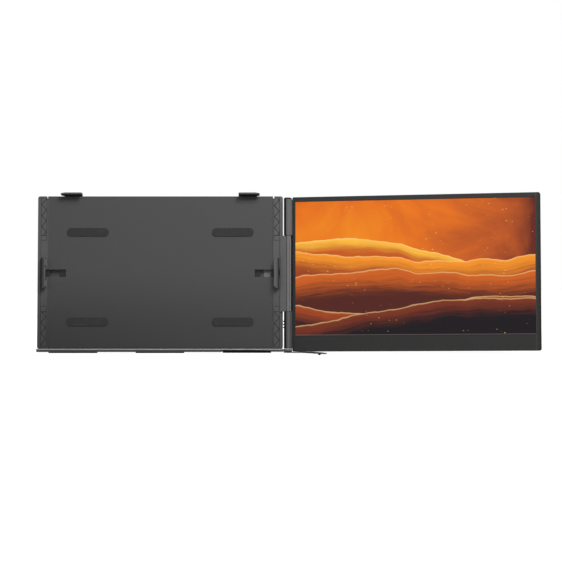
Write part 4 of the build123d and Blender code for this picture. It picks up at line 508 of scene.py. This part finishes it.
def barrel_shade(g, place, base):
    """Painted shade: the barrels' dark side towards the frame, darker sides on the lower barrel, and a dark
    ring under each cap.
    """
    x = g.part_of(place, "X")
    base = g.mix(g.fall(x, *FRAME_SIDE_SHADE, smooth=True), base, DEEP_SHADE)
    height = g.dot(place, FRAME_UP)
    left = g.fall(x, *LOWER_LEFT_SHADE, amount=0.45)
    right = g.rise(x, *LOWER_RIGHT_SHADE, amount=0.42)
    sides = g.times(g.fall(height, *LOWER_BARREL_END), g.math("MAXIMUM", left, right))
    base = g.mix(sides, base, SHADE)
    ring = g.band(height, BARREL_TOP - CAP_THICKNESS, BARREL_TOP, SHARP)
    return g.mix(ring, base, SHADE)


# The bezel's painted light and shade lines: widths of the bevel, and places of the dark edges from the
# picture's corner
BEVEL_BELOW = 0.0013
BEVEL_BESIDE = 0.0014
DARK_FOOT = (-0.0226, -0.0218)
DARK_SIDE = (ACTIVE_WIDTH + 0.0042, ACTIVE_WIDTH + 0.0052)


def bezel_lines(g, place, base):
    """Painted light and shade on the bevel round the opening, darker below the picture than beside it, and
    painted shade on the outer edges.
    """
    place = g.shift(place, PICTURE_CORNER)
    across = g.dot(place, SCREEN_ACROSS)
    up = g.dot(place, SCREEN_UP)
    below = g.times(g.band(up, -BEVEL_BELOW, 0.0, CRISP), g.band(across, 0.0, ACTIVE_WIDTH, SOFT))
    base = g.mix(below, base, (0.010, 0.009, 0.009, 1.0))
    beside = g.band(across, ACTIVE_WIDTH, ACTIVE_WIDTH + BEVEL_BESIDE, SOFT)
    base = g.mix(beside, base, grey(0.036))
    base = g.mix(g.fall(up, *DARK_FOOT, amount=0.75), base, NEAR_BLACK)
    return g.mix(g.rise(across, *DARK_SIDE, amount=0.6), base, NEAR_BLACK)


# The lit picture: a generic abstract of warm ribbons over embers, in shares of its height
GLOW_U = 0.52
GLOW_V = 0.60
SKY_COLORS = (
    (0.22, (0.13, 0.022, 0.012, 1.0)),
    (0.42, (0.50, 0.095, 0.016, 1.0)),
    (0.58, (0.80, 0.17, 0.010, 1.0)),
    (0.74, (0.88, 0.27, 0.012, 1.0)),
    (0.92, (0.95, 0.52, 0.055, 1.0)),
)
RIBBONS = (
    # height, rise, swell, waves, phase, thickness, dark colour, light colour
    (0.66, -0.10, 0.10, 2.1, 0.4, 0.10, (0.55, 0.10, 0.012, 1.0), (0.98, 0.50, 0.05, 1.0)),
    (0.55, 0.06, 0.09, 1.7, 2.2, 0.16, (0.33, 0.055, 0.014, 1.0), (0.92, 0.30, 0.020, 1.0)),
    (0.47, -0.08, 0.07, 2.6, 4.1, 0.07, (0.85, 0.30, 0.02, 1.0), (1.00, 0.80, 0.22, 1.0)),
    (0.36, 0.10, 0.08, 2.0, 1.1, 0.20, (0.085, 0.018, 0.012, 1.0), (0.62, 0.12, 0.014, 1.0)),
    (0.24, -0.02, 0.07, 2.9, 3.3, 0.15, (0.030, 0.012, 0.012, 1.0), (0.36, 0.060, 0.014, 1.0)),
    (0.12, 0.07, 0.05, 2.3, 5.2, 0.14, (0.012, 0.009, 0.011, 1.0), (0.20, 0.034, 0.014, 1.0)),
)
CREST_LIGHT = (1.0, 0.72, 0.30, 1.0)
CREST_DEPTH = 0.012
CREST_SOFT = 0.003
SPARK_LIGHT = (1.0, 0.66, 0.22, 1.0)
EDGE_LIGHT = (0.075, 0.062, 0.058, 1.0)
EDGE_HEIGHTS = (0.0050, 0.0062)


def sky(g, u, v, flat):
    """A warm haze, brightest round one glow."""
    haze = g.noise(flat, scale=1.6, detail=5.0, roughness=0.55, distortion=0.8)
    glow_u = g.math("SUBTRACT", u, GLOW_U)
    glow_v = g.math("SUBTRACT", v, GLOW_V)
    far = g.math("SQRT", g.math("ADD", g.times(glow_u, glow_u), g.times(glow_v, glow_v)))
    level = g.math("ADD", g.weighted((haze, 0.75), (far, -0.42)), 0.42)
    return g.ramp(level, SKY_COLORS)


def lay_ribbon(g, u, v, wander, ribbon, behind):
    """Lays one ribbon over what is behind it, light along its crest and darker below."""
    height, rise, swell, waves, phase, thickness, dark, light = ribbon
    wave = g.times(g.math("SINE", g.math("MULTIPLY_ADD", u, waves, phase)), swell)
    slope = g.math("MULTIPLY_ADD", u, rise, height)
    crest = g.math("ADD", g.math("ADD", slope, wave), wander)
    below = g.math("SUBTRACT", crest, v)
    streak_place = g.join_xyz(g.times(u, 1.4), g.times(below, 26.0), phase)
    streaks = g.noise(streak_place, scale=2.2, detail=4.0, roughness=0.6, distortion=0.5)
    stray = g.math("SUBTRACT", streaks, 0.5)
    fold = g.math("ADD", g.math("DIVIDE", below, thickness), g.times(stray, 0.7))
    body = g.mix(g.rise(fold, 0.0, 1.0, smooth=True), light, dark)
    lit = g.fall(below, 0.0, CREST_DEPTH, amount=0.55, smooth=True)
    body = g.mix(lit, body, CREST_LIGHT)
    return g.mix(g.rise(below, -CREST_SOFT, CREST_SOFT, smooth=True), behind, body)


def embers(g, u, v, flat):
    """Small soft sparks in loose drifts."""
    drift = g.rise(g.noise(flat, scale=2.3, detail=2.0), 0.46, 0.62, smooth=True)
    slant_u = g.math("MULTIPLY_ADD", v, 0.9, u)
    slant_v = g.math("MULTIPLY_ADD", u, -0.5, g.times(v, 2.2))
    near = g.cells(g.join_xyz(slant_u, slant_v), scale=17.0)
    return g.times(g.fall(near, 0.05, 0.13, smooth=True), drift)


def picture(name):
    g = Graph(name)
    place = g.shift(g.place(), PICTURE_CORNER)
    u = g.math("DIVIDE", g.dot(place, SCREEN_ACROSS), ACTIVE_HEIGHT)
    v = g.math("DIVIDE", g.dot(place, SCREEN_UP), ACTIVE_HEIGHT)
    flat = g.join_xyz(u, v)
    color = sky(g, u, v, flat)
    wander = g.times(g.math("SUBTRACT", g.noise(flat, scale=3.0), 0.5), 0.10)
    for ribbon in RIBBONS:
        color = lay_ribbon(g, u, v, wander, ribbon, color)
    color = g.mix(embers(g, u, v, flat), color, SPARK_LIGHT)
    # A pale line along the picture's lower edge
    color = g.mix(g.fall(v, *EDGE_HEIGHTS), color, EDGE_LIGHT, "ADD")
    sheen = g.noise(place, scale=2400.0, detail=1.0)
    return g.surface(
        specular_ior_level=0.05,
        base_color=grey(0.004, 0.001),
        roughness=g.even(sheen, 0.30, 0.38),
        emission_color=color,
        emission_strength=1.0,
        normal=g.bump(sheen, distance=0.000004, strength=0.4),
    )


# Circuit board: solder mask over copper tracks
def board(name):
    g = Graph(name)
    place = g.place()
    brick = g.node("ShaderNodeTexBrick", {"Vector": place, "Scale": 260.0, "Mortar Size": 0.08})
    tracks = brick.outputs["Fac"]
    pads = g.fall(g.cells(place, scale=420.0), 0.06, 0.10)
    base = g.mix(tracks, (0.014, 0.09, 0.035, 1.0), (0.03, 0.17, 0.07, 1.0))
    base = g.mix(pads, base, (0.55, 0.46, 0.25, 1.0))
    gloss = g.even(g.noise(place, scale=300.0), 0.28, 0.42)
    normal = g.bump(tracks, distance=0.00002, strength=0.5, bevel=0.0002)
    return g.surface(base_color=base, roughness=gloss, normal=normal)


# Clear light guide with its printed dots
def acrylic(name):
    g = Graph(name)
    dots = g.fall(g.cells(g.place(), scale=700.0), 0.18, 0.28, smooth=True)
    base = g.mix(dots, (0.86, 0.90, 0.92, 1.0), grey(0.97))
    gloss = g.spread(dots, 0.0, 1.0, 0.08, 0.55)
    normal = g.bump(dots, distance=0.00001, strength=0.5)
    return g.surface(base_color=base, roughness=gloss, normal=normal)


materials = {}


def stock(name, make, *values, **settings):
    """Makes one material and keeps it under its name."""
    materials[name] = make(name, *values, **settings)


# Plastics: colour and roughness
stock("frame_grey", moulded, FRAME_GREY, 0.52, shape=panel_emboss, specular=0.15)
stock("grip_grey", moulded, grey(0.086), 0.58, grain=0.0008, depth=0.00005, shape=grip_lines)
stock("clamp_grey", moulded, (0.092, 0.094, 0.092, 1.0), 0.48, shape=clamp_bands)
stock("clip_black", moulded, grey(0.004, 0.0002), 0.45, shape=lit_clip_top, specular=0.08)
stock(
    "bezel_black", moulded, grey(0.021, -0.0005), 0.55,
    grain=0.0005, variation=0.05, shape=bezel_lines, specular=0.18,
)
stock("shell_grey", moulded, grey(0.035, 0.001), 0.50)
stock("button_black", moulded, grey(0.02), 0.42)
stock("speaker_black", moulded, grey(0.015), 0.6)
stock("gear_acetal", moulded, grey(0.022, 0.001), 0.42, variation=0.05)

# Painted metals: colour, roughness and the stretch that gives the grain its direction
UPRIGHT = (1.0, 1.0, 0.03)
LEVEL = (0.03, 1.0, 1.0)
NO_GRAIN = (1.0, 1.0, 1.0)
stock("hinge_metal", painted, grey(0.122, 0.001), 0.46, UPRIGHT, shape=barrel_shade, specular=0.02)
stock("arm_metal", painted, grey(0.180, 0.002), 0.46, UPRIGHT, shape=arm_light_and_shade, specular=0.05)
stock("rail_metal", painted, grey(0.065, 0.002), 0.46, LEVEL, shape=lit_rail_slope, specular=0.05)
stock("leg_metal", painted, grey(0.030, 0.001), 0.50, NO_GRAIN, shape=lit_leg_top, specular=0.12)

# Bare metals
stock("black_steel", brushed, grey(0.028, 0.002), 0.42, (0.05, 1.0, 1.0), metallic=0.6)
stock("steel", brushed, grey(0.50, 0.01), 0.30, (0.05, 1.0, 1.0))
stock("zinc_screw", brushed, grey(0.30, 0.01), 0.32, NO_GRAIN)
stock("tray_metal", brushed, grey(0.62, 0.01), 0.34, (0.04, 1.0, 1.0))
stock("socket_metal", brushed, grey(0.58, 0.02), 0.22, (0.2, 1.0, 1.0))

# Rubbers
stock("rubber_black", rubber, grey(0.018))
stock("lining_grey", rubber, grey(0.150), shape=lining_side_shade)
stock("pad_rubber", rubber, grey(0.028, 0.001), grain=0.0009)

# Board, light guide and lit screen
stock("board_green", board)
stock("acrylic", acrylic)
stock("screen_face", picture)

for part in frame["record"]["subparts"]:
    node = frame["nodes"][part["node"]]
    node.data.materials.clear()
    node.data.materials.append(materials[part["material_slot"]])

# Stage: a middle that the lamps face, a wide floor and the levels of its glow to the camera
MIDDLE = (0.18, 0.0, 0.11)
FLOOR_REACH = 14.0
FLOOR_DARKER = grey(0.22)
FLOOR_LIGHTER = grey(0.24)
FLOOR_NEAR = 0.5
FLOOR_FAR = 1.5
FLOOR_NEAR_GLOW = 0.80
WORLD_LIGHT = 0.24
WHITE = grey(1.0)

# Floor: pale and plain, white to the camera, with the object's shadow kept
floor_mesh = bpy.data.meshes.new("floor")
corners = [(x * FLOOR_REACH, y * FLOOR_REACH, 0) for x, y in ((-1, -1), (1, -1), (1, 1), (-1, 1))]
floor_mesh.from_pydata(corners, [], [(0, 1, 2, 3)])
floor = bpy.data.objects.new("floor", floor_mesh)
scene.collection.objects.link(floor)
g = Graph("floor")
pale = g.mix(g.even(g.noise(g.place(), scale=3.0)), FLOOR_DARKER, FLOOR_LIGHTER)
from_middle = g.shift(g.place(), MIDDLE)
off_middle = g.node("ShaderNodeVectorMath", {0: from_middle}, operation="LENGTH").outputs["Value"]
level = g.spread(off_middle, FLOOR_NEAR, FLOOR_FAR, FLOOR_NEAR_GLOW, 1.0, smooth=True)
glow = g.times(g.seen(), level)
g.surface(base_color=pale, roughness=0.8, emission_color=WHITE, emission_strength=glow)
floor_mesh.materials.append(g.material)

# World: soft light, white where the camera or a gloss sees it
world = bpy.data.worlds.new("studio")
scene.world = world
world.use_nodes = True
g = Graph("studio", world.node_tree)
level = g.spread(g.seen(), 0.0, 1.0, WORLD_LIGHT, 1.0)
background = g.node("ShaderNodeBackground", {"Color": WHITE, "Strength": level})
output = g.node("ShaderNodeOutputWorld")
g.tree.links.new(background.outputs[0], output.inputs[0])


# Lamps
def lamp(name, place, size, watts):
    """A rectangular lamp that faces the middle of the object."""
    data = bpy.data.lights.new(name, "AREA")
    data.shape = "RECTANGLE"
    data.size, data.size_y = size
    data.energy = watts
    made = bpy.data.objects.new(name, data)
    made.location = place
    towards = Vector(MIDDLE) - Vector(place)
    made.rotation_euler = towards.to_track_quat("-Z", "Y").to_euler()
    scene.collection.objects.link(made)


lamp("key", (0.55, -0.80, 1.15), (0.7, 0.7), 22)
lamp("fill", (-1.6, -1.8, 0.9), (1.0, 1.4), 5)
lamp("back", (-0.5, 1.6, 1.3), (1.4, 1.0), 16)
scene.view_settings.view_transform = "Standard"
